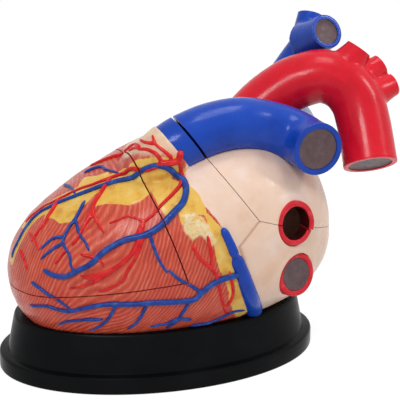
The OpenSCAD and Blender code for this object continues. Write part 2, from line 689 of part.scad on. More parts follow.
module atrial_floor() {
  color(atrium_pink) difference() {
    moulded() difference() {
      intersection() { heart_solid(); atrial_space(); }
      roof_space(seam / 2);
      heart_hollows();
      vessel_seats();
    }
    vein_bore(left_upper_vein);
    vein_bore(left_lower_vein);
    vein_bore(right_lower_vein);
    vein_bore(lower_cava, lower_cava_d);
    screw_holes();
    magnet_pockets([roof_magnet_places[0]], -1);
    pins([roof_pin_places[0]], roof_way, pin_d + 2 * fit, pin_reach + 1);
  }
}
module ventricle_cover() {
  color(muscle_red) difference() {
    moulded() difference() {
      intersection() { outer_heart(); cover_space(-seam / 2); }
      heart_hollows();
      trunk_seat();
    }
    magnet_pockets(cover_magnet_places, 1);
    pins(cover_pin_places, cover_way, pin_d + 0.1, pin_reach);
  }
}
module atrial_roof() {
  color(atrium_pink) difference() {
    moulded() difference() {
      intersection() { heart_solid(); roof_space(-seam / 2); }
      heart_hollows();
      vessel_seats();
    }
    vein_bore(left_upper_vein);
    vein_bore(right_upper_vein);
    magnet_pockets(roof_magnet_places, 1);
    pins(roof_pin_places, roof_way, pin_d + 0.1, pin_reach);
  }
}

module trunk_outer() { great_vessel(trunk_route, trunk_d / 2); }
module trunk_inner() { pipe(carried(trunk_route, 0.3, 0.3), trunk_d / 2 - vessel_wall, above); }
module trunk_seat() {
  intersection() {
    great_vessel(trunk_route, trunk_d / 2 + fit);
    root_space(fit);
  }
}
// The heart's wall rises to the root in a cone that goes over into the vessel.
cone_more = [5, 2, 1.5, 1.5];
module outflow_cone() {
  path = [for (i = [0 : 3]) at(trunk_route[i])];
  difference() {
    sweep(path, [for (m = cone_more) trunk_d / 2 + m], [for (p = path) above], vessel_sides);
    root_space();
  }
}
module outer_heart() {
  heart_solid();
  outflow_cone();
}
module aorta_outer() { great_vessel(aorta_route, aorta_d / 2); }
module aorta_inner() { great_vessel(carried(aorta_route, 0.3, 0.3), aorta_d / 2 - vessel_wall); }

module pulmonary_root() {
  color(vein_blue) moulded() difference() {
    intersection() {
      trunk_outer();
      root_space(-surface_gap);
    }
    trunk_inner();
    cover_space(seam / 2);
    roof_space(seam / 2);
  }
}
module aortic_root() {
  color(artery_red) moulded() difference() {
    aorta_outer();
    aorta_inner();
    left_ventricle_space();
    roof_space(seam / 2);
  }
}
module pulmonary_trunk() {
  color(vein_blue) moulded() difference() {
    intersection() {
      union() { trunk_outer(); pipe(right_pulmonary_route, right_pulmonary_d / 2, above); }
      roof_space(-seam / 2);
    }
    trunk_inner();
    pipe(carried(right_pulmonary_route, 0.3, 0.3), right_pulmonary_d / 2 - vessel_wall, above);
  }
}
module aorta() {
  color(artery_red) moulded() difference() {
    intersection() {
      union() { aorta_outer(); for (b = arch_branches) branch(b, flare = arch_flare); }
      roof_space(-seam / 2);
    }
    aorta_inner();
    for (b = arch_branches) branch(b, branch_wall, 1);
    great_vessel(trunk_route, trunk_d / 2 + fit);
    pipe(right_pulmonary_route, right_pulmonary_d / 2 + fit, above);
  }
}
module superior_vena_cava() {
  color(vein_blue) moulded() difference() {
    union() {
      pipe(cava_route, cava_d / 2, side_up);
      branch(brachiocephalic_left);
      branch(brachiocephalic_right);
    }
    pipe(carried(cava_route, 0.3, -0.4), cava_d / 2 - vein_wall, side_up);
    branch(brachiocephalic_left, vein_wall, 1);
    branch(brachiocephalic_right, vein_wall, 1);
  }
}
module end_disc(from, to, d) {
  back = way(to, from);
  aim(at(to) + back * (disc_recess + disc_thickness), -back) cylinder(h = disc_thickness, d = d - 0.2);
}
module aorta_end_discs() {
  n = len(aorta_route) - 1;
  color(disc_grey) {
    end_disc(aorta_route[n - 1], aorta_route[n], clear_d(aorta_d - 2 * vessel_wall));
    for (b = arch_branches) end_disc(b[0], b[1], clear_d(b[2] - 2 * branch_wall));
  }
}
module pulmonary_end_discs() {
  n = len(trunk_route) - 1;
  m = len(right_pulmonary_route) - 1;
  color(disc_grey) {
    end_disc(trunk_route[n - 1], trunk_route[n], clear_d(trunk_d - 2 * vessel_wall));
    end_disc(right_pulmonary_route[m - 1], right_pulmonary_route[m],
      clear_d(right_pulmonary_d - 2 * vessel_wall));
  }
}
module superior_vena_cava_discs() {
  color(disc_grey) for (b = [brachiocephalic_left, brachiocephalic_right])
    end_disc(b[0], b[1], clear_d(b[2] - 2 * vein_wall));
}

module body_coronary_arteries() {
  color(artery_red) moulded() difference() {
    arteries();
    cover_space(seam / 2);
    roof_space(seam / 2);
    atrial_space();
    outflow_cone();
    trunk_seat();
    sinus_main();
    veins();
    stand_zone();
  }
}
// The room of the stand, which the vessels on the surface stop short of
module stand_zone() {
  translate([-heart_length, -heart_width, -1])
    cube([2 * heart_length, 2 * heart_width, stand_height + 2]);
}
module cover_coronary_arteries() {
  color(artery_red) moulded() difference() {
    intersection() { arteries(); cover_space(-seam / 2); }
    veins();
    outflow_cone();
  }
}
module body_cardiac_veins() {
  color(vein_blue) moulded() difference() {
    veins();
    outflow_cone();
    trunk_seat();
    cover_space(seam / 2);
    roof_space(seam / 2);
    sinus_main();
    stand_zone();
  }
}
module cover_cardiac_veins() {
  color(vein_blue) moulded() difference() {
    intersection() { veins(); cover_space(-seam / 2); }
    outflow_cone();
  }
}
module coronary_sinus() {
  color(vein_blue) moulded() difference() {
    sinus_main();
    stand_zone();
  }
}

module mitral_valve() { color(valve_ivory) inlet_valve(mitral_place, mitral_d, 2); }
module tricuspid_valve() { color(valve_ivory) inlet_valve(tricuspid_place, tricuspid_d, 3); }
module aortic_valve() {
  color(valve_ivory) outlet_valve(aorta_route, 0, 0.35, clear_d(aorta_d - 2 * vessel_wall));
}
module pulmonary_valve() {
  color(valve_ivory) outlet_valve(trunk_route, 2, 0.6, clear_d(trunk_d - 2 * vessel_wall) - 1);
}
module left_papillary_muscles() {
  color(muscle_red) moulded() intersection() { muscles(left_muscles, 8); left_ventricle_space(fit); }
}
module right_papillary_muscles() {
  color(muscle_red) moulded() intersection() { muscles(right_muscles, 7); right_ventricle_space(fit); }
}
module left_tendinous_cords() { color(valve_ivory) cords(left_muscles, mitral_place, mitral_d); }
module right_tendinous_cords() { color(valve_ivory) cords(right_muscles, tricuspid_place, tricuspid_d); }

module inferior_vena_cava() { color(vein_blue) vein_ring(lower_cava, lower_cava_d, vein_wall); }
module inferior_vena_cava_disc() { color(disc_grey) vein_disc(lower_cava, lower_cava_d, vein_wall); }
module left_lower_vein_ring() { color(artery_red) vein_ring(left_lower_vein); }
module left_lower_vein_disc() { color(disc_grey) vein_disc(left_lower_vein); }
module right_lower_vein_ring() { color(artery_red) vein_ring(right_lower_vein); }
module right_lower_vein_disc() { color(disc_grey) vein_disc(right_lower_vein); }
module right_upper_vein_ring() { color(artery_red) vein_ring(right_upper_vein); }
module right_upper_vein_disc() { color(disc_grey) vein_disc(right_upper_vein); }
module half_plane(side) {
  n = seam_normal(roof_flat);
  aim(at([roof_seam[1][0], 0, roof_seam[1][1]]) + n * side * seam / 2, n * side)
    translate([-heart_width, -heart_width, 0]) cube([2 * heart_width, 2 * heart_width, heart_width]);
}
module left_upper_vein_lower_half() {
  color(artery_red) intersection() { vein_ring(left_upper_vein); half_plane(-1); }
}
module left_upper_vein_upper_half() {
  color(artery_red) intersection() { vein_ring(left_upper_vein); half_plane(1); }
}

module cover_pins() { color(steel_grey) pins(cover_pin_places, cover_way, pin_d, pin_reach); }
module roof_pins() { color(steel_grey) pins(roof_pin_places, roof_way, pin_d, pin_reach); }
module body_magnets() {
  color(steel_grey) {
    magnets(cover_magnet_places, -1);
    magnets(roof_magnet_places, -1);
  }
}
module cover_magnets() { color(steel_grey) magnets(cover_magnet_places, 1); }
module roof_magnets() { color(steel_grey) magnets(roof_magnet_places, 1); }

stand_shell();
stand_plate();
plate_screws();
heart_screws();
ventricle_body();
atrial_floor();
pulmonary_root();
aortic_root();
mitral_valve();
tricuspid_valve();
aortic_valve();
pulmonary_valve();
left_papillary_muscles();
right_papillary_muscles();
left_tendinous_cords();
right_tendinous_cords();
body_coronary_arteries();
body_cardiac_veins();
coronary_sinus();
inferior_vena_cava();
inferior_vena_cava_disc();
left_lower_vein_ring();
left_lower_vein_disc();
left_upper_vein_lower_half();
right_lower_vein_ring();
right_lower_vein_disc();
body_magnets();
ventricle_cover();
cover_coronary_arteries();
cover_cardiac_veins();
cover_pins();
cover_magnets();
atrial_roof();
aorta();
pulmonary_trunk();
superior_vena_cava();
aorta_end_discs();
pulmonary_end_discs();
superior_vena_cava_discs();
left_upper_vein_upper_half();
right_upper_vein_ring();
right_upper_vein_disc();
roof_pins();
roof_magnets();
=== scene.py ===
"""Looks of the jumbo heart model: painted shells, vessels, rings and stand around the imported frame."""

import json
import math

import bpy
import numpy as np
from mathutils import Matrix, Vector, noise
from mathutils.bvhtree import BVHTree
from mathutils.kdtree import KDTree

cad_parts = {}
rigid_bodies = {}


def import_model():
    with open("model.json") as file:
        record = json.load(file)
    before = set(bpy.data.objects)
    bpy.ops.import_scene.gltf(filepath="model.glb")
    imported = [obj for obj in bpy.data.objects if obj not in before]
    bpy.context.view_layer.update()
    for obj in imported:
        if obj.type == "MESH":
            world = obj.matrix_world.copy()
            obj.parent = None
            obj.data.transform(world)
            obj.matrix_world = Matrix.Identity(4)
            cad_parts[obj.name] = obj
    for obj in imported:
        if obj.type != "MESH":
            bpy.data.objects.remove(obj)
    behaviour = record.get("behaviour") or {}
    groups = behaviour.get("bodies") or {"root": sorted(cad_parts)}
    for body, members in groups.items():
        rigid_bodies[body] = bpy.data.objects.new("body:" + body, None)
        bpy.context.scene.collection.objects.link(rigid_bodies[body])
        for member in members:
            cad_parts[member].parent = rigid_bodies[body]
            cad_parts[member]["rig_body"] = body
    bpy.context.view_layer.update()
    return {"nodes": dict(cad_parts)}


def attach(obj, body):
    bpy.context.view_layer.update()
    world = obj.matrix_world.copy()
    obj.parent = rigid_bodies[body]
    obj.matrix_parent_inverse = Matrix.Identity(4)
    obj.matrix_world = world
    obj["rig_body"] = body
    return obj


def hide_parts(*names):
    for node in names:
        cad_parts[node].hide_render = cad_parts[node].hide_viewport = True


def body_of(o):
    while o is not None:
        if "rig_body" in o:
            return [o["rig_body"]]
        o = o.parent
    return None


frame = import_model()
nodes = frame["nodes"]

# ---------------------------------------------------------------- sizes, in millimetres
MM = 0.001
APEX_X, ATRIA_X = -148.0, 173.0
MIDDLE_Y = [-5, -4, -3, -2, 0, 0, 0, -5, -8]
MIDDLE_Z = [98, 100, 105, 111, 118, 124, 126, 124, 122]
LEFT_HALF = [114, 114, 101, 98, 100, 104, 106, 108, 108]
RIGHT_HALF = [112, 112, 100, 98, 100, 104, 106, 108, 108]
TOP_HALF = [92, 92, 90, 96, 106, 114, 122, 126, 124]
BOTTOM_HALF = [108, 108, 96, 87, 86, 90, 102, 112, 112]
TOP_ROUND = [2, 2, 2, 2, 2, 2.1, 2.2, 2.4, 2.4]
BOTTOM_ROUND = [2, 2.1, 2.4, 2.6, 2.6, 2.6, 2.6, 2.4, 2.4]

LEFT_WALL, RIGHT_WALL, SEPTUM, ATRIAL_WALL = 19, 12, 14, 9
FIT = 0.3
COVER_GAP, ROOF_GAP, TRUNK_GAP = 1.3, 0.6, 1.6
VOXEL = 1.35

AORTA_R, TRUNK_R, RIGHT_PULMONARY_R, CAVA_R = 26.5, 25.0, 19.0, 17.0
VESSEL_WALL, VEIN_WALL, BRANCH_WALL = 5.0, 4.0, 3.0
ROOT_LENGTH = 18.0
RING_D, RING_WALL, RING_PROUD, RING_DEPTH = 43.0, 5.5, 3.0, 12.0
LOWER_CAVA_D = 36.0
DISC_THICKNESS, DISC_RECESS = 3.0, 1.0
ARTERY_R, VEIN_R, SINUS_D = 2.7, 3.8, 19.0
PIN_R, PIN_REACH = 4.0, 12.0
MAGNET_R, MAGNET_THICKNESS = 4.0, 3.0

COVER_SEAM = [(-199, 85), (1, 107), (-63, 296)]
ROOF_SEAM = [(-27, 294), (73, 157), (300, 83)]
GLUE_LINE = [(73, 157), (51, 136), (82, 35)]
COVER_WAY = np.array([-0.5, 0, 0.866])
ROOF_WAY = np.array([0.62, 0, 0.785])

LEFT_VENTRICLE = ((-38, -32, 98), (88, 46, 52))
RIGHT_VENTRICLE = ((-22, 28, 128), (76, 60, 64))
LEFT_ATRIUM = ((106, -42, 140), (48, 38, 66))
RIGHT_ATRIUM = ((104, 50, 138), (46, 36, 64))

AORTA = [(26, -12, 142), (58, 6, 178), (86, 14, 210), (112, 18, 236), (138, 15, 255), (156, 10, 263),
         (173, 5, 266), (191, -3, 259), (202, -12, 244), (205, -22, 226), (205, -34, 206), (204, -46, 187)]
TRUNK = [(-26, 4, 168), (-12, -32, 202), (4, -40, 220), (22, -40, 229), (46, -37, 235), (73, -36, 237),
         (97, -34, 232), (116, -38, 226), (128, -48, 221), (133, -62, 218), (135, -80, 218)]
OUTFLOW = [(8, -22, 118), (26, -12, 142), (58, 6, 178)]
RIGHT_PULMONARY = [(128, -46, 219), (142, -12, 212), (156, 24, 207), (168, 60, 204), (172, 76, 203)]
CAVA = [(92, 64, 176), (114, 64, 202), (138, 64, 232), (159, 64, 259), (173, 61, 279), (181, 55, 291)]
BRACHIOCEPHALIC = [((176, 58, 289), (184, 25, 306), 34), ((174, 60, 282), (186, 74, 313), 26)]
ARCH = [((186, 1, 262), (209, 2, 292), 25), ((195, -4, 254), (232, 0, 275), 20),
        ((202, -12, 243), (243, -6, 255), 22)]
CONE_MORE = [5, 2, 1.5, 1.5]

LEFT_UPPER = (0.713, 13, (0.3, -0.93, 0.15))
LEFT_LOWER = (0.72, -23, (0.3, -0.93, 0.1))
RIGHT_UPPER = (0.82, 150, (0.72, 0.6, 0.34))
RIGHT_LOWER = (0.8, 204, (0.72, 0.66, -0.1))
LOWER_CAVA = (0.7, 196, (0.3, 0.94, -0.12))

# Coronary vessels, each a route of (share of the length in percent, angle in degrees)
GREAT_VEIN = [(6, 80), (12, 86), (18, 90), (24, 82), (29, 74), (34, 69), (38, 65), (42, 60), (46, 55),
              (48.5, 50), (49, 44), (48, 37), (46, 33), (43, 28), (40, 26), (36, 26.5), (32, 23), (29, 17),
              (26, 14), (23, 11), (20, 14), (17, 22)]
VEIN_TWIGS = [
    [(30.5, 65), (28, 56), (25, 48), (23.5, 40), (24.5, 28), (24.5, 20), (25, 14)],
    [(23.5, 40), (20, 38), (16.5, 34)],
    [(24, 45), (21, 48), (17, 45)],
    [(27.5, 54), (27.5, 42), (28.5, 33), (29, 26)],
    [(33, 98), (36, 90), (36.5, 82), (38.5, 70)],
    [(28.5, 104), (29, 90), (29.2, 76)],
    [(41, 27), (41.5, 18), (42.5, 9), (43.8, 2)]]
CROSSING_VEIN = [(44, 4), (46, -3), (48, -8), (50, -14)]
MIDDLE_VEIN = [(12, -29), (17, -19), (21, -20), (24, -20), (28, -16), (32, -14), (36.5, -15), (41.5, -16),
               (46.5, -18), (49, -18), (50.5, -14), (52.5, -10), (55, -8), (57.5, -8)]
BODY_VEIN_TWIGS = [
    [(12.5, 9), (17, -3), (20.5, -10), (24, -18)],
    [(34, -15), (32, -28), (29, -39)],
    [(40, -16), (38.5, -28), (36.5, -36)],
    [(48, -20), (47, -26), (45.9, -33), (44.2, -39)],
    [(31.5, -26), (27.5, -27), (25.3, -29), (23.2, -32), (21.3, -39)],
    [(49, -41), (53.6, -41), (57.1, -36), (60, -38)],
    [(49, -34), (46.1, -31), (44.3, -33)],
    [(46.8, -32), (44, -34), (41, -35)]]
DESCENDING_ARTERY = [(49.4, 58), (48.7, 55), (47.3, 55), (45.9, 56), (44.1, 57), (42.2, 60), (40, 67), (37, 71),
                     (33.5, 74), (30, 79), (26, 84), (21, 94), (16, 100)]
ARTERY_TWIGS = [
    [(48.8, 55), (48.7, 50), (48, 46), (46.5, 43), (44, 39), (41.8, 35), (40.4, 34)],
    [(43, 78), (40, 90), (37, 98), (35, 106)],
    [(36.5, 71), (34, 64), (31.5, 56), (31.5, 46), (32.5, 35)],
    [(31.2, 55), (29, 46), (25.5, 34)],
    [(39.5, 32), (39, 25), (37, 17), (32.5, 10), (27, 8)],
    [(26, 84), (23, 76), (20, 70), (15, 62)]]
BODY_ARTERY_TWIGS = [
    [(48.5, 14), (50, 6), (52.5, -2), (53.5, -12), (54.5, -24), (56, -37)],
    [(51.5, 17), (52, 9), (52.2, 0)],
    [(55.5, -4), (56.5, -20), (55.6, -30)]]
FINE_ARTERIES = [
    [(41.8, 35), (40.4, 34), (39, 37), (37.6, 40), (35.9, 40), (33.7, 40)],
    [(40.4, 34), (39.4, 31), (38.2, 27), (36.9, 26)],
    [(40.4, 34), (40, 30), (39, 22), (36.5, 15), (33.7, 10), (30.7, 5), (27.6, 1), (23.7, 0)],
    [(40, 28), (39.7, 24), (38.3, 16), (36.3, 8), (35.3, 2), (32.1, -3), (30.2, -4)],
    [(38, 20), (36.8, 16), (34.2, 12), (32.4, 8), (28.8, 6), (26.4, 10)],
    [(26.9, 26), (29.2, 22), (31, 18), (31.7, 13)],
    [(15.3, 77), (16, 61), (16.4, 51), (16.7, 44)],
    [(10.5, 68), (10.8, 49), (11.4, 36), (11.4, 27)],
    [(31.5, 52), (30.2, 49), (28.8, 45), (27.6, 41), (26.5, 38), (25.3, 36)],
    [(23.9, 33), (22, 28), (20.5, 24)]]
CONE_ARTERIES = [
    [(47.6, 56), (47.1, 58), (46.3, 61), (45.8, 64), (45.9, 69)],
    [(45.8, 64), (45, 66), (44.3, 69), (43.9, 74)],
    [(45.9, 56), (45.4, 60), (44.9, 62), (44.1, 65), (43.2, 68), (42.6, 72), (41.5, 77)],
    [(43.2, 68), (43.2, 71), (42.8, 78)]]
RIGHT_ARTERY = [(56, 112), (58, 130), (58, 150), (57, 172), (56, 195), (54, 212)]
BACK_ARTERY = [(55, 208), (46, 216), (36, 222), (27, 228), (20, 236)]
MARGINAL_ARTERY = [(56, 170), (46, 160), (36, 152), (27, 150)]
SMALL_VEIN = [(60, 128), (60, 150), (59.5, 175), (58.5, 200)]
BACK_VEIN = [(57, 214), (47, 222), (37, 229), (28, 236)]
MARGINAL_VEIN = [(55, 144), (46, 140), (37, 134), (29, 132)]
# Each with its radii along the way, as shares of the largest
VEINS = ([(GREAT_VEIN, (0.35, 0.55, 0.8, 0.88, 0.72, 0.6)), (CROSSING_VEIN, (0.4, 0.5)),
          (MIDDLE_VEIN, (0.4, 0.7, 0.8)), (SMALL_VEIN, (0.7, 1)), (BACK_VEIN, (0.9, 0.5)),
          (MARGINAL_VEIN, (0.7, 0.4))]
         + [(t, (0.5, 0.34)) for t in VEIN_TWIGS] + [(t, (0.5, 0.34)) for t in BODY_VEIN_TWIGS])
ARTERIES = ([(DESCENDING_ARTERY, (1.3, 1, 0.6, 0.45)), (RIGHT_ARTERY, (1.1, 0.9)), (BACK_ARTERY, (0.9, 0.5)),
             (MARGINAL_ARTERY, (0.9, 0.5))]
            + [(t, (0.85, 0.5)) for t in ARTERY_TWIGS] + [(t, (0.7, 0.5)) for t in BODY_ARTERY_TWIGS]
            + [(t, (0.6, 0.42)) for t in FINE_ARTERIES] + [(t, (0.8, 0.5)) for t in CONE_ARTERIES])
SINUS_FEED = [(54.5, 19), (55.7, 11), (56.8, 3)]
SINUS = [(56.8, 4), (58.5, -10), (60, -23), (62.3, -40), (64, -56), (65.6, -72)]

# Paint zones on the same surface coordinates
FAT_PATCHES = [
    [(32, 56), (34.6, 53), (38.4, 46), (40.7, 46), (42.6, 48), (42.2, 55), (39.7, 62), (36.3, 66), (34.1, 66)],
    [(20.5, 76), (22.6, 68), (23.7, 58), (26.8, 53), (27.9, 60), (30.4, 62), (33.8, 67), (29.7, 72), (25.3, 79),
     (22.3, 84)],
    [(41.8, 60), (44.2, 56), (46.4, 53), (48.1, 48), (48.4, 43), (47.7, 36), (46.7, 32), (44.7, 30), (43.6, 38),
     (42.8, 48)],
    [(49.4, 49), (49.9, 44), (51.1, 38), (52, 28), (54.6, 18), (56.1, 3), (56.1, -4), (53, 3), (52.7, 12),
     (51.5, 27), (48.8, 30), (47.1, 25), (46.7, 32), (48.2, 38)],
    [(56.1, 1), (57.4, -6), (57.9, -19), (60.7, -43), (59.2, -49), (55.7, -24), (55.8, -14), (55, -4)],
    [(39.6, 69), (42, 63), (44, 59.5), (46, 57), (48.4, 56), (48.6, 52), (45.4, 53), (42, 57), (40.2, 63)],
    [(32.3, 90), (34.4, 82), (36.6, 79), (36.8, 71), (33.8, 71), (31, 76), (28.3, 78)]]
PALE_PATCHES = [
    [(47.7, 31), (49.4, 30), (51.2, 26), (52.3, 20), (53.2, 13), (52.3, 11), (51.1, 15), (50.2, 18), (48.7, 16),
     (47.3, 22)]]
BEIGE_PATCHES = [
    [(39.8, 76), (41, 90), (43, 104), (48.2, 112), (52, 112), (53, 85), (51, 56), (48.4, 56), (46, 58),
     (44, 60.5), (42, 65)]]
FAT_STRIPS = [(GREAT_VEIN[:9], 6.5), (DESCENDING_ARTERY, 6), (RIGHT_ARTERY, 9), (BACK_ARTERY, 6),
              (BACK_VEIN, 6), (SMALL_VEIN, 8), ([(u - 2.4, v) for u, v in SINUS[:4]], 7)]
# Where the pink atria begin: angle in degrees and share of the length in percent
PINK_EDGE = [(-180, 59), (-160, 59), (-120, 61), (-80, 66), (-54, 64.5), (-30, 61), (-14, 59.2), (2, 57.8),
             (5, 57.3), (12, 56), (16, 55.3), (21, 54.1), (27, 52.8), (30, 52.1), (34, 51.1), (38, 50.3),
             (43, 49.4), (50, 49.3), (57, 49.6), (62, 50.6), (66, 51.5), (90, 52.5), (120, 55),
             (150, 59), (180, 59)]

LEFT_MUSCLES = [[(-72, -62, 58), (-40, -54, 74), (-8, -46, 86)], [(-64, -6, 50), (-34, -14, 68), (-6, -22, 82)]]
RIGHT_MUSCLES = [[(-50, 44, 62), (-28, 44, 78), (-6, 42, 90)], [(-58, 68, 72), (-30, 60, 84), (0, 54, 96)]]
MITRAL_PLACE, TRICUSPID_PLACE, VALVE_WAY = (60, -34, 108), (60, 46, 118), (-0.96, 0, -0.28)
MITRAL_D, TRICUSPID_D = 40, 44

STAND_LENGTH, STAND_WIDTH, STAND_HEIGHT, STEP_HEIGHT = 317.0, 205.0, 54.0, 17.0
LEDGE, LEAN, PLATE_THICKNESS, PLATE_LIP = 8.5, 7.5, 3.0, 2.4
HEART_SCREW_X = [-78, 22, 100]
HEART_SCREW_D, SCREW_HEAD_D, SCREW_HEAD_Z, PLATE_SCREW_D, SCREW_BITE = 5.0, 9.5, 6.0, 3.0, 14.0


# ---------------------------------------------------------------- the heart's surface
def unit(v):
    v = np.asarray(v, float)
    return v / np.linalg.norm(v, axis=-1, keepdims=True)


def spline(values, t):
    """Smooth curve through evenly spaced values, t from 0 to 1."""
    v = np.asarray(values, float)
    last = len(v) - 1
    padded = np.concatenate([[2 * v[0] - v[1]], v, [2 * v[-1] - v[-2]]])
    s = np.clip(np.asarray(t, float) * last, 0, last - 1e-9)
    i = s.astype(int)
    f = (s - i).reshape(s.shape + (1,) * (v.ndim - 1))
    a, b, c, d = padded[i], padded[i + 1], padded[i + 2], padded[i + 3]
    return 0.5 * (2 * b + (c - a) * f + (2 * a - 5 * b + 4 * c - d) * f ** 2 + (3 * b - a - 3 * c + d) * f ** 3)


def section(u, inset=0.0):
    s = np.sin(np.pi * u)
    low, high = APEX_X + inset, ATRIA_X - inset
    return (low + (high - low) * (1 - np.cos(np.pi * u)) / 2, spline(MIDDLE_Y, u), spline(MIDDLE_Z, u),
            s * (spline(LEFT_HALF, u) - inset), s * (spline(RIGHT_HALF, u) - inset),
            s * (spline(TOP_HALF, u) - inset), s * (spline(BOTTOM_HALF, u) - inset),
            spline(TOP_ROUND, u), spline(BOTTOM_ROUND, u))


def on_heart(u, v, inset=0.0):
    """Points of the surface. v in degrees: 0 left, 90 top, 180 right, 270 bottom."""
    u, v = np.broadcast_arrays(np.asarray(u, float), np.asarray(v, float))
    x, my, mz, left, right, top, bottom, round_top, round_bottom = section(u, inset)
    c, s = np.cos(np.radians(v)), np.sin(np.radians(v))
    wide, high = np.where(c > 0, left, right), np.where(s > 0, top, bottom)
    n = np.where(s > 0, round_top, round_bottom)
    k = (np.abs(c) ** n + np.abs(s) ** n) ** (-1 / n)
    return np.stack([x, my - wide * c * k, mz + high * s * k], -1)


def locate(p):
    """Share of the length, angle in -180..180 and radial share of points near the surface."""
    u = np.arccos(np.clip(1 - 2 * (p[:, 0] - APEX_X) / (ATRIA_X - APEX_X), -1, 1)) / np.pi
    u = np.clip(u, 0.004, 0.996)
    _, my, mz, left, right, top, bottom, round_top, round_bottom = section(u)
    y, z = p[:, 1] - my, p[:, 2] - mz
    a, b = -y / np.where(y < 0, left, right), z / np.where(z > 0, top, bottom)
    n = np.where(z > 0, round_top, round_bottom)
    return u, np.degrees(np.arctan2(b, a)), (np.abs(a) ** n + np.abs(b) ** n) ** (1 / n)


# ---------------------------------------------------------------- mesh helpers
def add(name, points, faces, material=None):
    mesh = bpy.data.meshes.new(name)
    mesh.from_pydata((np.asarray(points, float) * MM).tolist(), [], faces)
    mesh.validate()
    obj = bpy.data.objects.new(name, mesh)
    bpy.context.scene.collection.objects.link(obj)
    if material:
        mesh.materials.append(material)
    return obj


def copy_of(obj, name):
    new = obj.copy()
    new.data = obj.data.copy()
    new.name = name
    bpy.context.scene.collection.objects.link(new)
    return new


def drop(*objs):
    for o in objs:
        mesh = o.data
        bpy.data.objects.remove(o)
        bpy.data.meshes.remove(mesh)


def settle(obj):
    """Turns an object's modifiers into its mesh."""
    mesh = bpy.data.meshes.new_from_object(obj.evaluated_get(bpy.context.evaluated_depsgraph_get()))
    obj.modifiers.clear()
    old, obj.data = obj.data, mesh
    bpy.data.meshes.remove(old)
    return obj


def cut(obj, cutters, operation="DIFFERENCE"):
    for c in cutters:
        m = obj.modifiers.new("cut", "BOOLEAN")
        m.object, m.operation, m.solver = c, operation, "MANIFOLD"
        m.material_mode = "TRANSFER"
    return settle(obj)


def joined(name, objs):
    """One object that holds copies of the meshes of several, which are dropped."""
    points, faces, start = [], [], 0
    for o in objs:
        co = np.empty(len(o.data.vertices) * 3)
        o.data.vertices.foreach_get("co", co)
        points.append(co.reshape(-1, 3) / MM)
        faces += [[i + start for i in p.vertices] for p in o.data.polygons]
        start += len(o.data.vertices)
    material = objs[0].data.materials[0] if len(objs[0].data.materials) else None
    drop(*objs)
    return add(name, np.concatenate(points), faces, material)


def remeshed(obj, voxel=VOXEL, rounds=3):
    material = obj.data.materials[0] if len(obj.data.materials) else None
    m = obj.modifiers.new("remesh", "REMESH")
    m.mode, m.voxel_size, m.adaptivity = "VOXEL", voxel * MM, 0
    s = obj.modifiers.new("smooth", "SMOOTH")
    s.factor, s.iterations = 0.5, rounds
    settle(obj)
    if material and not len(obj.data.materials):
        obj.data.materials.append(material)
    return obj


def points_of(obj):
    co = np.empty(len(obj.data.vertices) * 3)
    obj.data.vertices.foreach_get("co", co)
    return co.reshape(-1, 3) / MM


def set_points(obj, points):
    obj.data.vertices.foreach_set("co", (points * MM).ravel())
    obj.data.update()


def normals_of(obj):
    normal = np.empty(len(obj.data.vertices) * 3)
    obj.data.vertex_normals.foreach_get("vector", normal)
    return normal.reshape(-1, 3)


def soften(obj, angle=38):
    """Smooth shading that keeps edges sharper than the angle."""
    obj.data.shade_smooth()
    obj.data.set_sharp_from_angle(angle=math.radians(angle))
    return obj


def quads(rows, sides):
    """Faces between rows of points that close round."""
    return [(i * sides + j, i * sides + (j + 1) % sides, (i + 1) * sides + (j + 1) % sides, (i + 1) * sides + j)
            for i in range(rows) for j in range(sides)]


def stacked(rows, sides):
    """Faces of a closed stack of rings, with a cap on each end."""
    caps = [tuple(range(sides - 1, -1, -1)), tuple(range(rows * sides, (rows + 1) * sides))]
    return quads(rows, sides) + caps


def heart_mesh(name, inset=0.0, rings=150, sides=216, material=None):
    u = np.arange(1, rings) / rings
    v = np.arange(sides) * 360 / sides
    grid = on_heart(u[:, None], v[None, :], inset).reshape(-1, 3)
    points = np.concatenate([grid, on_heart([0.0], [0.0], inset), on_heart([1.0], [0.0], inset)])
    count = len(grid)
    faces = quads(rings - 2, sides)
    faces += [(count, (j + 1) % sides, j) for j in range(sides)]
    end = (rings - 2) * sides
    faces += [(count + 1, end + j, end + (j + 1) % sides) for j in range(sides)]
    return add(name, points, [f[::-1] for f in faces], material)


def smooth_path(points, steps=8):
    return spline(points, np.linspace(0, 1, (len(points) - 1) * steps + 1))


def carried(route, start, end):
    """A route whose ends are moved on by a share of its first and last leg."""
    r = np.array(route, float)
    r[0], r[-1] = r[0] + start * (r[0] - r[1]), r[-1] + end * (r[-1] - r[-2])
    return r


def tube(name, path, radii, sides=40, material=None, start_plane=None, end_plane=None):
    """Closed tube along a path, with an end ring laid on a plane (point, normal) where one is given."""
    path = np.asarray(path, float)
    radii = np.broadcast_to(np.asarray(radii, float), len(path))
    tangent = unit(np.gradient(path, axis=0))
    side = np.zeros_like(path)
    first = np.cross(tangent[0], [0.1, 0.2, 1.0])
    side[0] = unit(first)
    for i in range(1, len(path)):
        side[i] = unit(side[i - 1] - tangent[i] * (side[i - 1] @ tangent[i]))
    top = np.cross(tangent, side)
    angle = np.arange(sides) * 2 * np.pi / sides
    rings = (path[:, None] + radii[:, None, None]
             * (np.cos(angle)[None, :, None] * side[:, None] + np.sin(angle)[None, :, None] * top[:, None]))
    for i, plane in ((0, start_plane), (len(path) - 1, end_plane)):
        if plane is not None:
            point, normal = np.asarray(plane[0], float), np.asarray(plane[1], float)
            rings[i] += tangent[i] * (((point - rings[i]) @ normal) / (tangent[i] @ normal))[:, None]
    return add(name, rings.reshape(-1, 3), stacked(len(path) - 1, sides), material)


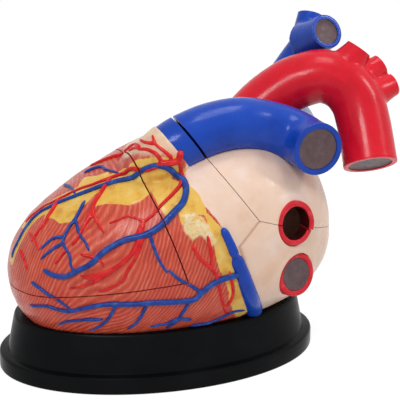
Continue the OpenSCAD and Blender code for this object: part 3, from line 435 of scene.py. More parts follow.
def rod(name, place, way, radius, low, high, sides=48, material=None):
    place, way = np.asarray(place, float), unit(way)
    return tube(name, [place + way * low, place + way * high], radius, sides, material)


def across(way):
    """Two directions at right angles to a direction."""
    way = unit(way)
    side = unit(np.cross(way, [0, 0, 1.0] if abs(way[2]) < 0.9 else [0, 1.0, 0]))
    return side, np.cross(way, side)


def lathe(name, profile, place, way, sides=96, closed=True, material=None, wobble=None):
    """Turned form: profile of (radius, height) pairs round a place and direction. An open profile starts and
    ends on the axis."""
    place, way = np.asarray(place, float), unit(way)
    side, top = across(way)
    angle = np.arange(sides) * 2 * np.pi / sides
    around = np.cos(angle)[:, None] * side + np.sin(angle)[:, None] * top
    profile = np.asarray(profile, float)
    inner = profile if closed else profile[1:-1]
    scale = np.ones(sides) if wobble is None else wobble(angle)
    rings = (place + inner[:, None, :1] * scale[None, :, None] * around[None] + inner[:, None, 1:] * way)
    count = len(inner)
    faces = [(i * sides + j, ((i + 1) % count) * sides + j, ((i + 1) % count) * sides + (j + 1) % sides,
              i * sides + (j + 1) % sides) for i in range(count if closed else count - 1) for j in range(sides)]
    points = rings.reshape(-1, 3)
    if not closed:
        base = len(points)
        points = np.concatenate([points, [place + way * profile[0][1]], [place + way * profile[-1][1]]])
        faces += [(base, j, (j + 1) % sides) for j in range(sides)]
        end = (count - 1) * sides
        faces += [(base + 1, end + (j + 1) % sides, end + j) for j in range(sides)]
    obj = add(name, points, faces, material)
    volume_sign(obj)
    return obj


def volume_sign(obj):
    """Turns the faces outwards where a mesh is inside out."""
    co = points_of(obj)
    total = 0.0
    for p in obj.data.polygons:
        v = [co[i] for i in p.vertices]
        for k in range(1, len(v) - 1):
            total += np.dot(v[0], np.cross(v[k], v[k + 1]))
    if total < 0:
        obj.data.flip_normals()


def rounded(corners, radius, steps=4):
    """Closed profile whose corners are rounded."""
    corners = np.asarray(corners, float)
    out = []
    for i, c in enumerate(corners):
        a, b = unit(corners[i - 1] - c), unit(corners[(i + 1) % len(corners)] - c)
        r = radius[i] if np.ndim(radius) else radius
        if r == 0:
            out.append(c)
            continue
        for t in np.linspace(0, 1, steps + 1):
            out.append((1 - t) ** 2 * (c + a * r) + 2 * t * (1 - t) * c + t ** 2 * (c + b * r))
    return out


def egg(name, form, grow=0.0):
    """Ellipsoid, given by its middle and its half sizes."""
    (x, y, z), (rx, ry, rz) = form
    profile = [(np.sin(a), -np.cos(a)) for a in np.linspace(0, np.pi, 41)]
    obj = lathe(name, profile, (0, 0, 0), (0, 0, 1), 64, closed=False)
    p = points_of(obj) * [rx + grow, ry + grow, rz + grow] + [x, y, z]
    set_points(obj, p)
    volume_sign(obj)
    return obj


def prism(name, corners, material=None, half=220.0):
    """Prism across Y over a polygon in the XZ plane."""
    n = len(corners)
    points = [(x, -half, z) for x, z in corners] + [(x, half, z) for x, z in corners]
    faces = [tuple(range(n)), tuple(range(2 * n - 1, n - 1, -1))]
    faces += [(i, i + n, (i + 1) % n + n, (i + 1) % n) for i in range(n)]
    obj = add(name, points, faces, material)
    volume_sign(obj)
    return obj


def wedge_corners(line, grow, reach=420.0):
    a, c, b = (np.array(p, float) for p in line)
    da, db = unit(a - c), unit(b - c)
    na, nb = np.array([-da[1], da[0]]), np.array([-db[1], db[0]])
    na, nb = (-na if na @ db > 0 else na), (-nb if nb @ da > 0 else nb)
    corner = c + np.linalg.solve(np.array([na, nb]), [grow, grow])
    return [corner, corner + da * reach, corner + da * reach + db * reach, corner + db * reach]


def wedge(name, line, grow, material=None):
    return prism(name, wedge_corners(line, grow), material)


# ---------------------------------------------------------------- materials
STREAK = 3.7
STEEP_LEAN, LOW_LEAN, LEAN_TURN, LEAN_WIDTH, APEX_TURN = 0.34, 1.0, 84.0, 7.0, 0.7


def colour(hexed):
    """Linear colour of a written sRGB one."""
    raw = [int(hexed[i:i + 2], 16) / 255 for i in (1, 3, 5)]
    return tuple(c / 12.92 if c <= 0.04045 else ((c + 0.055) / 1.055) ** 2.4 for c in raw) + (1.0,)


class Paint:
    """A node material with short calls for what the paints here share."""

    def __init__(self, name, roughness=0.35, coat=0.0, metallic=0.0, specular=0.5, coat_roughness=0.1):
        self.material = bpy.data.materials.new(name)
        self.material.use_nodes = True
        self.tree = self.material.node_tree
        self.shader = self.tree.nodes["Principled BSDF"]
        for socket, value in (("Roughness", roughness), ("Coat Weight", coat), ("Metallic", metallic),
                              ("Specular IOR Level", specular), ("Coat Roughness", coat_roughness)):
            self.shader.inputs[socket].default_value = value
        self.place = self.node("ShaderNodeTexCoord").outputs["Object"]
        self.height = None

    def node(self, kind, **sockets):
        n = self.tree.nodes.new(kind)
        for key, value in sockets.items():
            key = key.replace("_", " ")
            if hasattr(value, "is_output"):
                self.tree.links.new(value, n.inputs[key])
            else:
                n.inputs[key].default_value = value
        return n

    def mapped(self, sizes, turn=(0, 0, 0)):
        """Coordinates turned, then divided by sizes in millimetres."""
        n = self.node("ShaderNodeMapping", Vector=self.place)
        n.vector_type = "TEXTURE"
        n.inputs["Rotation"].default_value = [math.radians(a) for a in turn]
        n.inputs["Scale"].default_value = [s * MM for s in sizes]
        return n.outputs["Vector"]

    def noise(self, size, detail=3.0, roughness=0.55, distortion=0.0, turn=(0, 0, 0)):
        sizes = size if isinstance(size, (tuple, list)) else (size,) * 3
        n = self.node("ShaderNodeTexNoise", Vector=self.mapped(sizes, turn), Scale=1.0, Detail=detail,
                      Roughness=roughness, Distortion=distortion)
        return n.outputs["Fac"]

    def ramp(self, value, stops):
        n = self.node("ShaderNodeValToRGB", Fac=value)
        elements = n.color_ramp.elements
        n.color_ramp.interpolation = "EASE"
        while len(elements) < len(stops):
            elements.new(0.5)
        for e, (at, c) in zip(elements, stops):
            e.position, e.color = at, colour(c)
        return n.outputs["Color"]

    def span(self, value, low, high, to_low=0.0, to_high=1.0):
        n = self.node("ShaderNodeMapRange", Value=value)
        n.interpolation_type = "SMOOTHSTEP"
        for key, v in (("From Min", low), ("From Max", high), ("To Min", to_low), ("To Max", to_high)):
            n.inputs[key].default_value = v
        return n.outputs["Result"]

    def math(self, kind, a, b):
        n = self.tree.nodes.new("ShaderNodeMath")
        n.operation = kind
        for socket, value in zip(n.inputs, (a, b)):
            if hasattr(value, "is_output"):
                self.tree.links.new(value, socket)
            else:
                socket.default_value = value
        return n.outputs["Value"]

    def blend(self, amount, a, b):
        n = self.tree.nodes.new("ShaderNodeMix")
        n.data_type = "RGBA"
        for key, value in ((0, amount), (6, a), (7, b)):
            if hasattr(value, "is_output"):
                self.tree.links.new(value, n.inputs[key])
            else:
                n.inputs[key].default_value = value
        return n.outputs[2]

    def attribute(self, name):
        n = self.tree.nodes.new("ShaderNodeAttribute")
        n.attribute_name = name
        return n.outputs["Fac"]

    def base(self, value):
        self.tree.links.new(value, self.shader.inputs["Base Color"])
        return self

    def rough(self, value):
        self.tree.links.new(value, self.shader.inputs["Roughness"])
        return self

    def bump(self, value, strength=0.3, depth=0.4):
        n = self.node("ShaderNodeBump", Strength=strength, Distance=depth * MM, Height=value)
        self.tree.links.new(n.outputs["Normal"], self.shader.inputs["Normal"])
        return self


def vessel_paint(name, dark, plain, light, roughness=0.24, streak=14):
    """Thick glossy hand paint: slow change of tone, faint brush marks and fine orange peel."""
    p = Paint(name, coat=0.08, coat_roughness=0.05, specular=0.18)
    tone = p.noise(streak, 3)
    p.base(p.ramp(tone, [(0.3, dark), (0.5, plain), (0.72, light)]))
    p.rough(p.span(p.noise(9, 2), 0.3, 0.7, roughness - 0.05, roughness + 0.1))
    p.bump(p.math("ADD", p.noise(2.6, 2), p.math("MULTIPLY", p.noise(13, 2), 1.2)), 0.2, 0.18)
    return p.material


vein_paint = vessel_paint("vein_paint", "#103ea6", "#1546b4", "#1b4cba", streak=30)
artery_paint = vessel_paint("artery_paint", "#d01026", "#dd142a", "#e41c30", streak=30)
twig_vein_paint = vessel_paint("twig_vein_paint", "#13307c", "#1a4298", "#2f5cac", 0.3, 7)
twig_artery_paint = vessel_paint("twig_artery_paint", "#c8161e", "#de2026", "#e83c32", 0.3, 7)
ring_paint = vessel_paint("ring_paint", "#cf1c2c", "#dc2632", "#e4424a", 0.3, 10)


def heart_paint():
    """Striated muscle, lumpy fat and pale atria, mixed by what the surface's points carry, with painted shade in
    the glued joint's groove.
    """
    p = Paint("heart_paint", coat=0.14, coat_roughness=0.14, specular=0.22)
    turn = (0, 24, 0)
    drift = p.math("MULTIPLY", p.noise(17, 2), 7.0)
    phase = p.math("ADD", p.math("MULTIPLY", p.attribute("grain"), 2 * math.pi / STREAK), drift)
    stripes = p.math("ADD", p.math("MULTIPLY", p.math("SINE", phase, 0.0), 0.5), 0.5)
    streaks = p.noise((2.2, 14, 22), 3, 0.6, 0.3, turn)
    patches = p.noise(34, 3, 0.55)
    line = p.math("MULTIPLY", p.math("ADD", stripes, p.math("MULTIPLY", streaks, 1.5)), 0.4)
    muscle = p.ramp(line, [(0.2, "#9e2c22"), (0.4, "#c43e2e"), (0.62, "#d95c44"), (0.84, "#f09c84")])
    tone = p.ramp(patches, [(0.32, "#c83e30"), (0.5, "#dc5f46"), (0.68, "#c24a3a")])
    muscle = p.blend(0.4, muscle, tone)
    fat = p.ramp(p.math("ADD", p.math("MULTIPLY", p.noise(9, 3), 0.5), p.math("MULTIPLY", p.noise(28, 2), 0.5)),
                 [(0.34, "#dd9c3a"), (0.5, "#efbf55"), (0.64, "#f3cf7d")])
    pale = p.ramp(p.noise(7, 3, distortion=1.5), [(0.35, "#e8b65c"), (0.5, "#efd29a"), (0.65, "#f4e2c2")])
    pink = p.ramp(p.noise(30, 3), [(0.3, "#edc6ab"), (0.5, "#f3d2bb"), (0.7, "#f6dccb")])
    beige = p.ramp(p.noise(14, 3), [(0.3, "#e9b596"), (0.5, "#eecbab"), (0.7, "#f0dcb4")])
    edge = p.math("MULTIPLY", p.math("SUBTRACT", p.noise(6, 3), 0.5), 0.5)

    def mask(name, low=0.42, high=0.6):
        return p.span(p.math("ADD", p.attribute(name), edge), low, high)

    mixed = p.blend(mask("pink", 0.4, 0.62), muscle, pink)
    mixed = p.blend(mask("fat"), mixed, fat)
    mixed = p.blend(mask("beige", 0.3, 0.75), mixed, beige)
    mixed = p.blend(mask("pale", 0.3, 0.75), mixed, pale)
    # Painted shade: the glued joint's groove darkened towards brown
    p.base(p.blend(p.math("MULTIPLY", p.attribute("groove"), 0.55), mixed, colour("#a8603c")))
    smooth = p.math("MAXIMUM", p.attribute("pink"), p.attribute("beige"))
    p.rough(p.span(p.noise(12, 2), 0.3, 0.7, 0.26, 0.4))
    relief = p.math("MULTIPLY", line, p.math("SUBTRACT", 1.0, p.math("MAXIMUM", smooth, p.attribute("fat"))))
    p.bump(p.math("ADD", p.math("MULTIPLY", relief, 1.5), p.math("MULTIPLY", p.noise(5, 2), 0.5)), 0.5, 0.7)
    return p.material


def lining_paint():
    """Walls of the chambers: ridged red muscle in the ventricles, smooth pink in the atria."""
    p = Paint("lining_paint", coat=0.15, specular=0.5)
    ridges = p.noise((26, 7, 7), 3, 0.55, 1.2)
    red = p.ramp(ridges, [(0.32, "#a23a35"), (0.5, "#cc6258"), (0.68, "#e08c7c")])
    pink = p.ramp(p.noise(22, 2), [(0.3, "#e3ac98"), (0.5, "#eec4ae"), (0.7, "#f4d6c4")])
    p.base(p.blend(p.attribute("pink"), red, pink))
    p.rough(p.span(p.noise(12, 2), 0.3, 0.7, 0.34, 0.5))
    p.bump(ridges, 0.6, 1.2)
    return p.material


def cut_paint():
    """Flat faces of the seams, brushed in one coat of muscle or atrial colour."""
    p = Paint("cut_paint", specular=0.5)
    brush = p.noise((6, 6, 1.6), 3, 0.6)
    red = p.ramp(brush, [(0.3, "#b8473c"), (0.5, "#cf6052"), (0.7, "#dc7a68")])
    pink = p.ramp(brush, [(0.3, "#e6b8a0"), (0.5, "#efcab2"), (0.7, "#f4d8c6")])
    p.base(p.blend(p.attribute("pink"), red, pink))
    p.rough(p.span(p.noise(7, 2), 0.3, 0.7, 0.42, 0.6))
    p.bump(brush, 0.3, 0.3)
    return p.material


def plain_paint(name, stops, size=18, roughness=(0.3, 0.42), bump=0.25, depth=0.2, fine=2.2, coat=0.2):
    p = Paint(name, coat=coat, specular=0.5)
    p.base(p.ramp(p.noise(size, 3), [(0.3, stops[0]), (0.5, stops[1]), (0.7, stops[2])]))
    p.rough(p.span(p.noise(size * 0.7, 2), 0.3, 0.7, roughness[0], roughness[1]))
    p.bump(p.noise(fine, 3), bump, depth)
    return p.material


def stand_paint():
    p = Paint("stand_paint", specular=0.05)
    p.base(p.ramp(p.noise(60, 2), [(0.3, "#0b0c0d"), (0.5, "#0e0f11"), (0.7, "#121315")]))
    p.rough(p.span(p.noise((40, 40, 14), 3), 0.3, 0.72, 0.2, 0.34))
    p.bump(p.noise(3.5, 2), 0.14, 0.12)
    return p.material


def steel_paint():
    p = Paint("turned_steel", metallic=1.0)
    lines = p.noise((0.5, 0.5, 8), 2)
    p.base(p.ramp(lines, [(0.35, "#9b9ca0"), (0.5, "#b9babe"), (0.65, "#cfd0d3")]))
    p.rough(p.span(lines, 0.3, 0.7, 0.22, 0.38))
    p.bump(lines, 0.15, 0.05)
    return p.material


heart_coat = heart_paint()
lining_coat = lining_paint()
cut_coat = cut_paint()
stand_coat = stand_paint()
steel = steel_paint()
disc_coat = plain_paint("disc_coat", ("#4a3538", "#573f43", "#614a4e"), 7, (0.42, 0.58), 0.3, 0.15, 1.4, 0.02)
# Painted shade: near-black maroon for the depths of the vein rings' bores and the holes behind them, where shade
# falls
painted_bore_shade = plain_paint("painted_bore_shade", ("#260606", "#340a0a", "#44100f"), 9, (0.3, 0.42), 0.3, 0.2, 2.0, 0.05)
valve_coat = plain_paint("valve_coat", ("#e6d2a8", "#f1e3c4", "#f6ecd8"), 6, (0.36, 0.5), 0.3, 0.2, 1.8, 0.1)
muscle_coat = plain_paint("muscle_coat", ("#a83c34", "#c9584a", "#dc7c68"), 7, (0.34, 0.46), 0.5, 0.5, 3.0,
                          0.15)
magnet_coat = plain_paint("magnet_coat", ("#8e8f94", "#a6a7ab", "#bcbdc1"), 4, (0.2, 0.32), 0.1, 0.05, 1.0, 0.0)


# ---------------------------------------------------------------- the outer surface
def seam_normal(line):
    (ax, az), (bx, bz) = line[0], line[1]
    return unit([az - bz, 0, bx - ax])


roof_normal = seam_normal(ROOF_SEAM)
root_corner = np.array([ROOF_SEAM[1][0], 0, ROOF_SEAM[1][1]]) - ROOT_LENGTH * roof_normal
root_plane = (root_corner, roof_normal)
trunk_path = smooth_path(TRUNK)
aorta_path = smooth_path(AORTA)
cava_path = smooth_path(CAVA)
right_pulmonary_path = smooth_path(RIGHT_PULMONARY)
side_depth = (trunk_path - root_corner) @ roof_normal
root_step = int(np.argmax(side_depth > 0))


def distance_to(points, kd):
    return np.array([kd.find(p)[2] for p in points])


def tree_of(points):
    kd = KDTree(len(points))
    for i, p in enumerate(points):
        kd.insert(p, i)
    kd.balance()
    return kd


def route_points(route, steps=10):
    r = smooth_path(route, steps)
    return on_heart(r[:, 0] / 100, r[:, 1])


def step_up(x, low, high):
    t = np.clip((x - low) / (high - low), 0, 1)
    return t * t * (3 - 2 * t)


LENGTH_PER_SHARE, LENGTH_PER_DEGREE = 5.04, 1.75


def patch_depth(u, v, corners):
    """How far inside a patch each point lies, in millimetres; negative outside it."""
    c = np.array(corners, float) * [LENGTH_PER_SHARE, LENGTH_PER_DEGREE]
    px, py = u * 100 * LENGTH_PER_SHARE, v * LENGTH_PER_DEGREE
    inside = np.zeros(len(u), bool)
    best = np.full(len(u), 1e9)
    for (ax, ay), (bx, by) in zip(c, np.roll(c, -1, 0)):
        crosses = (ay > py) != (by > py)
        if ay != by:
            inside ^= crosses & (px < (bx - ax) * (py - ay) / (by - ay) + ax)
        t = np.clip(((px - ax) * (bx - ax) + (py - ay) * (by - ay)) / ((bx - ax) ** 2 + (by - ay) ** 2), 0, 1)
        best = np.minimum(best, np.hypot(px - ax - t * (bx - ax), py - ay - t * (by - ay)))
    return np.where(inside, best, -best) * np.sin(np.pi * u)


strip_trees = [(tree_of(route_points(r)), w) for r, w in FAT_STRIPS]
ring_places = [(on_heart(v[0], v[1]), unit(v[2])) for v in (LEFT_UPPER, LEFT_LOWER, RIGHT_UPPER, RIGHT_LOWER,
                                                           LOWER_CAVA)]


def zones(p):
    """Paint zones of points: fat, pale, beige, pink and the groove of the glued joint, which the paint also
    darkens as painted shade.
    """
    u, v, share = locate(p)
    near = np.abs(share - 1) < 0.12
    fat = np.zeros(len(p))
    for kd, width in strip_trees:
        d = np.full(len(p), 99.0)
        d[near] = distance_to(p[near], kd)
        fat = np.maximum(fat, 1 - step_up(d, width - 3, width + 3))
    for patch in FAT_PATCHES:
        fat = np.maximum(fat, step_up(patch_depth(u, v, patch), -3, 3))
    pale = np.zeros(len(p))
    for patch in PALE_PATCHES:
        pale = np.maximum(pale, step_up(patch_depth(u, v, patch), -4, 4))
    beige = np.zeros(len(p))
    for patch in BEIGE_PATCHES:
        beige = np.maximum(beige, step_up(patch_depth(u, v, patch), -8, 6))
    at, edge = zip(*PINK_EDGE)
    beyond = (u * 100 - np.interp(v, at, edge)) * LENGTH_PER_SHARE
    pink = step_up(beyond, -6, 6)
    (ax, az), (bx, bz), (cx, cz) = GLUE_LINE
    side = np.where(p[:, 2] > bz, (p[:, 0] - bx) - (p[:, 2] - bz) * (ax - bx) / (az - bz),
                    (p[:, 0] - bx) - (p[:, 2] - bz) * (cx - bx) / (cz - bz))
    inner = share < 0.9
    pink = np.where(inner, step_up(side, -4, 4), pink)
    top = ROOF_SEAM[1][1] - (p[:, 0] - ROOF_SEAM[1][0]) * 0.33
    groove = np.where(p[:, 2] < np.minimum(top, az), np.exp(-(side / 1.6) ** 2), 0)
    return fat, pale, beige, pink, groove


def bumps(points, size, seed):
    shift = Vector((seed * 17.3, seed * 5.1, seed * 9.7))
    return np.array([noise.noise(Vector(q) + shift) for q in (points / size).tolist()])


cone_path = trunk_path[:root_step + 1]
cone_more = np.interp(np.arange(len(cone_path)), np.arange(4) * 8, CONE_MORE)
cone = tube("cone", cone_path, TRUNK_R + cone_more, 64, end_plane=root_plane)
outer = joined("outer", [heart_mesh("loft"), cone])
outer.data.materials.append(heart_coat)
remeshed(outer, VOXEL, 4)


def shape_surface(obj):
    """Raised fat, ridged muscle, folds of the atria, collars of the vein rings and the glued joint's groove."""
    p = points_of(obj)
    normal = normals_of(obj)
    fat, pale, beige, pink, groove = zones(p)
    muscle = 1 - np.maximum(np.maximum(fat, pink), beige)
    turned = np.stack([p[:, 0] * 0.91 - p[:, 2] * 0.41, p[:, 1] * 0.28,
                       (p[:, 0] * 0.41 + p[:, 2] * 0.91) * 0.2], -1)
    height = muscle * 0.5 * bumps(turned, 6.5, 1)
    height += fat * (0.45 + 0.6 * bumps(p, 11, 2)) + pale * (1.0 + 1.3 * bumps(p, 12, 3))
    height += pink * 1.1 * bumps(p, 42, 4) + 0.25 * bumps(p, 20, 5)
    height -= 0.8 * groove
    for place, way in ring_places:
        flat = p - place
        along = flat @ way
        away = np.linalg.norm(flat - along[:, None] * way, axis=1)
        height += np.where(np.abs(along) < 30, 1.3 * (1 - step_up(away, 23, 34)), 0)
    set_points(obj, p + normal * height[:, None])


shape_surface(outer)
outer_tree = BVHTree.FromObject(outer, bpy.context.evaluated_depsgraph_get())


# How far outside the loft a search for the shaped surface starts, and how far it goes, in metres
RAY_STARTS, RAY_REACH = (0.006, 0.014, 0.024, 0.036), 0.05


def settle_on(points, normals):
    """Points moved along their normals onto the shaped surface, also where the root of the trunk covers it."""
    out = []
    for q, n in zip(points * MM, normals):
        for height in RAY_STARTS:
            hit, facing, _, _ = outer_tree.ray_cast(Vector(q + n * height), Vector(-n), RAY_REACH)
            if hit is not None and facing.dot(Vector(n)) > 0.1:
                break
        else:
            hit = outer_tree.find_nearest(Vector(q))[0]
        out.append(np.array(hit) / MM)
    return np.array(out)


# ---------------------------------------------------------------- cutters
def seat(name, path, radius, start_plane=None):
    return tube(name, path, radius, 56, cut_coat, start_plane)


lv = cut(egg("lv", LEFT_VENTRICLE), [heart_mesh("w1", LEFT_WALL, 60, 80)], "INTERSECT")
rv = cut(egg("rv", RIGHT_VENTRICLE), [heart_mesh("w2", RIGHT_WALL, 60, 80)], "INTERSECT")
aorta_room = tube("aorta_room", aorta_path, AORTA_R + VESSEL_WALL)
trunk_room = tube("trunk_room", trunk_path, TRUNK_R + VESSEL_WALL)
cut(rv, [egg("lv_wall", LEFT_VENTRICLE, SEPTUM), aorta_room])
atrial_wall = heart_mesh("w3", ATRIAL_WALL, 60, 80)
rooms = [lv, rv]
for name, form in (("la", LEFT_ATRIUM), ("ra", RIGHT_ATRIUM)):
    room = cut(egg(name, form), [atrial_wall], "INTERSECT")
    rooms.append(cut(room, [aorta_room, trunk_room]))
chambers = [copy_of(lv, "left_room"), copy_of(rv, "right_room")]
tunnels = [rod("tunnel", p, VALVE_WAY, d / 2 + 0.4, -24, 28) for p, d in ((MITRAL_PLACE, MITRAL_D),
                                                                        (TRICUSPID_PLACE, TRICUSPID_D))]
outflow = tube("outflow", smooth_path(OUTFLOW), AORTA_R - VESSEL_WALL)
trunk_inner_path = smooth_path(carried(TRUNK, 0.3, 0.3))
hollow = joined("hollow", rooms + tunnels + [outflow, tube("ti", trunk_inner_path, TRUNK_R - VESSEL_WALL)])
remeshed(hollow, 1.8, 4)
hollow.data.materials.clear()
hollow.data.materials.append(lining_coat)

cover_out = wedge("cover_out", COVER_SEAM, COVER_GAP / 2, cut_coat)
cover_in = wedge("cover_in", COVER_SEAM, -COVER_GAP / 2, cut_coat)
roof_out = wedge("roof_out", ROOF_SEAM, ROOF_GAP / 2, cut_coat)
roof_in = wedge("roof_in", ROOF_SEAM, -ROOF_GAP / 2, cut_coat)
atrial_side = prism("atrial_side", GLUE_LINE + [(82, -20), (300, -20), (300, 83)], cut_coat)
trunk_seat = seat("trunk_seat", trunk_path[root_step:], TRUNK_R + FIT, root_plane)
seats = [seat("aorta_seat", aorta_path, AORTA_R + FIT), seat("cava_seat", cava_path, CAVA_R + FIT),
         seat("right_seat", right_pulmonary_path, RIGHT_PULMONARY_R + FIT), trunk_seat]


def bores(name, vein, d=RING_D):
    place = on_heart(vein[0], vein[1])
    # The second rod lines the hole behind each ring with painted shade
    return [rod(name, place, vein[2], d / 2 + FIT, -RING_DEPTH - FIT, 60, 64, cut_coat),
            rod(name, place, vein[2], d / 2 - RING_WALL, -RING_DEPTH - 14, -RING_DEPTH + 1, 64, painted_bore_shade)]


def on_line(line, x, y):
    (ax, az), (bx, bz) = line
    return np.array([x, y, az + (bz - az) * (x - ax) / (bx - ax)])


LOWER, STEEP = COVER_SEAM[:2], COVER_SEAM[1:]
ROOF_STEEP, ROOF_FLAT = ROOF_SEAM[:2], ROOF_SEAM[1:]
cover_pins = [on_line(LOWER, -110, 30), on_line(LOWER, -20, -87)]
roof_pins = [on_line(ROOF_FLAT, 118, 5), on_line(ROOF_STEEP, 48, 52)]
cover_magnets = [(LOWER, -126, -5), (LOWER, -40, 20), (STEEP, -30, 14)]
roof_magnets = [(ROOF_FLAT, 152, 2), (ROOF_STEEP, 50, -58)]


def pin_holes(places, way, more=FIT):
    return [rod("hole", p, way, PIN_R + more, -PIN_REACH - 1, PIN_REACH + 1, 32, cut_coat) for p in places]


def pockets(list_of, side):
    return [rod("pocket", on_line(*m), side * seam_normal(m[0]), MAGNET_R + 0.1, -1, MAGNET_THICKNESS + 0.3, 40,
                cut_coat) for m in list_of]


def screw_holes():
    return [rod("screw_hole", (x, 0, 0), (0, 0, 1), HEART_SCREW_D / 2 + 0.05, 0, 70, 24, cut_coat)
            for x in HEART_SCREW_X]


# ---------------------------------------------------------------- the four painted shells
def grain_of(p):
    """Distance across the muscle's streaks, which lean over to the right and more so low on the body."""
    z = p[:, 2]
    lean = STEEP_LEAN * (LEAN_TURN - z) + (LOW_LEAN - STEEP_LEAN) * LEAN_WIDTH * np.log1p(
        np.exp(np.clip((LEAN_TURN - z) / LEAN_WIDTH, -30, 30)))
    round_apex = APEX_TURN * step_up(-p[:, 0], 40, 130)
    return p[:, 0] + lean - round_apex * p[:, 1]


def paint_zones(obj):
    p = points_of(obj)
    for name, values in zip(("fat", "pale", "beige", "pink", "groove", "grain"), (*zones(p), grain_of(p))):
        a = obj.data.attributes.new(name, "FLOAT", "POINT")
        a.data.foreach_set("value", values.astype(np.float32))


def shell(name, node, body, keep, taken):
    obj = copy_of(outer, name)
    if keep:
        cut(obj, [keep], "INTERSECT")
    cut(obj, taken)
    paint_zones(obj)
    soften(obj)
    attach(obj, body)
    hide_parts(node)
    return obj


shell("painted_ventricles", "ventricle_body", "stand_and_heart", None,
      [cover_out, roof_out, atrial_side, hollow] + seats + screw_holes() + pockets(cover_magnets, -1)
      + pockets(roof_magnets[1:], -1) + pin_holes(cover_pins, COVER_WAY) + pin_holes(roof_pins[1:], ROOF_WAY))
shell("painted_atrial_floor", "atrial_floor", "stand_and_heart", atrial_side,
      [roof_out, hollow] + seats + bores("b1", LEFT_UPPER) + bores("b2", LEFT_LOWER) + bores("b3", RIGHT_LOWER)
      + bores("b4", LOWER_CAVA, LOWER_CAVA_D) + screw_holes() + pockets(roof_magnets[:1], -1)
      + pin_holes(roof_pins[:1], ROOF_WAY))
shell("painted_cover", "ventricle_cover", "cover", cover_in,
      [hollow, trunk_seat] + pockets(cover_magnets, 1) + pin_holes(cover_pins, COVER_WAY, 0.05))
shell("painted_roof", "atrial_roof", "roof", roof_in,
      [hollow] + seats + bores("b5", LEFT_UPPER) + bores("b6", RIGHT_UPPER) + pockets(roof_magnets, 1)
      + pin_holes(roof_pins, ROOF_WAY, 0.05))


# ---------------------------------------------------------------- great vessels
def finish_piece(obj, body, slot, *replaced, angle=38):
    soften(obj, angle)
    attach(obj, body)
    if replaced:
        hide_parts(*replaced)
    return obj


def ends_of(place, before):
    place, before = np.array(place, float), np.array(before, float)
    return place, unit(place - before)


def rim(name, place, way, radius, bore, material):
    """Rounded lip round a cut end."""
    profile = rounded([(radius + 0.2, -4.0), (radius + 0.2, 0.15), (bore, 0.15), (bore, -4.0)],
                      (0.4, 1.5, 1.2, 0.4))
    return lathe(name, profile, place, way, 96, material=material)


def disc(name, place, way, radius):
    """Closing disc with a fine bead round its edge."""
    z = -DISC_RECESS
    profile = [(0, z - DISC_THICKNESS), (radius, z - DISC_THICKNESS), (radius, z - 0.3), (radius - 0.3, z),
               (radius - 1.3, z), (radius - 1.8, z - 0.35), (radius * 0.5, z - 0.5), (0, z - 0.55)]
    return lathe(name, profile, place, way, 72, closed=False, material=disc_coat)


def flared(b, flare, past):
    """Side branch that leaves its vessel in a flare."""
    a, e = np.array(b[0], float), np.array(b[1], float)
    t = np.linspace(0, 1, 13)
    path = a + (e - a) * (t * (1 + past / np.linalg.norm(e - a)))[:, None]
    radii = b[2] / 2 * (1 + (flare - 1) * (1 - np.clip(t * 1.05, 0, 1)) ** 1.5)
    return tube("branch", path, radii, 40)


def cutter_past(place, way, radius, paint):
    """Takes away what a vessel has beyond its cut end."""
    return rod("past", place, way, radius, 0, 24, 48, paint)


def close_ends(name, ends, paint, slot, vessel_node, disc_node):
    """Lips and closing discs of cut ends, each given by its place, direction, radius and bore."""
    rims = [rim("rim", place, way, radius, bore, paint) for place, way, radius, bore in ends]
    discs = [disc("disc", place, way, bore - 0.1) for place, way, _, bore in ends]
    finish_piece(joined(name + "_rims", rims), "roof", slot, vessel_node)
    finish_piece(joined(name + "_discs", discs), "roof", "end_disc", disc_node)


# Aorta with its arch
aorta_end, aorta_way = ends_of(AORTA[-1], AORTA[-2])
arch_parts = [tube("a0", smooth_path(carried(AORTA, 0, 0.35)), AORTA_R, 64)] + [flared(b, 2.3, 7) for b in ARCH]
aorta = remeshed(joined("aorta_and_arch", arch_parts), 1.3, 6)
aorta.data.materials.append(artery_paint)
inner = [tube("a1", smooth_path(carried(AORTA, 0.3, 0.4)), AORTA_R - VESSEL_WALL, 56, artery_paint)]
arch_ends = [(*ends_of(b[1], b[0]), b[2] / 2, b[2] / 2 - BRANCH_WALL) for b in ARCH]
past = [cutter_past(aorta_end, aorta_way, AORTA_R * 1.3, artery_paint)]
for place, way, radius, bore in arch_ends:
    past.append(cutter_past(place, way, radius * 1.35, artery_paint))
    inner.append(rod("a2", place, way, bore, -24, 2, 48, artery_paint))
aorta_root = tube("root_of_aorta", smooth_path(AORTA[:4]), AORTA_R, 72, artery_paint)
cut(aorta, [roof_in], "INTERSECT")
cut(aorta, past + inner + [tube("tr", trunk_path, TRUNK_R + FIT), tube("rr", right_pulmonary_path,
                                                                       RIGHT_PULMONARY_R + FIT)])
finish_piece(aorta, "roof", "vessel_red", "aorta")
close_ends("aorta", [(aorta_end, aorta_way, AORTA_R, AORTA_R - VESSEL_WALL)] + arch_ends, artery_paint,
           "vessel_red", "aorta", "aorta_end_discs")
# Root of the aorta in the body
cut(aorta_root, [inner[0], chambers[0], roof_out])
finish_piece(aorta_root, "stand_and_heart", "vessel_red", "aortic_root")

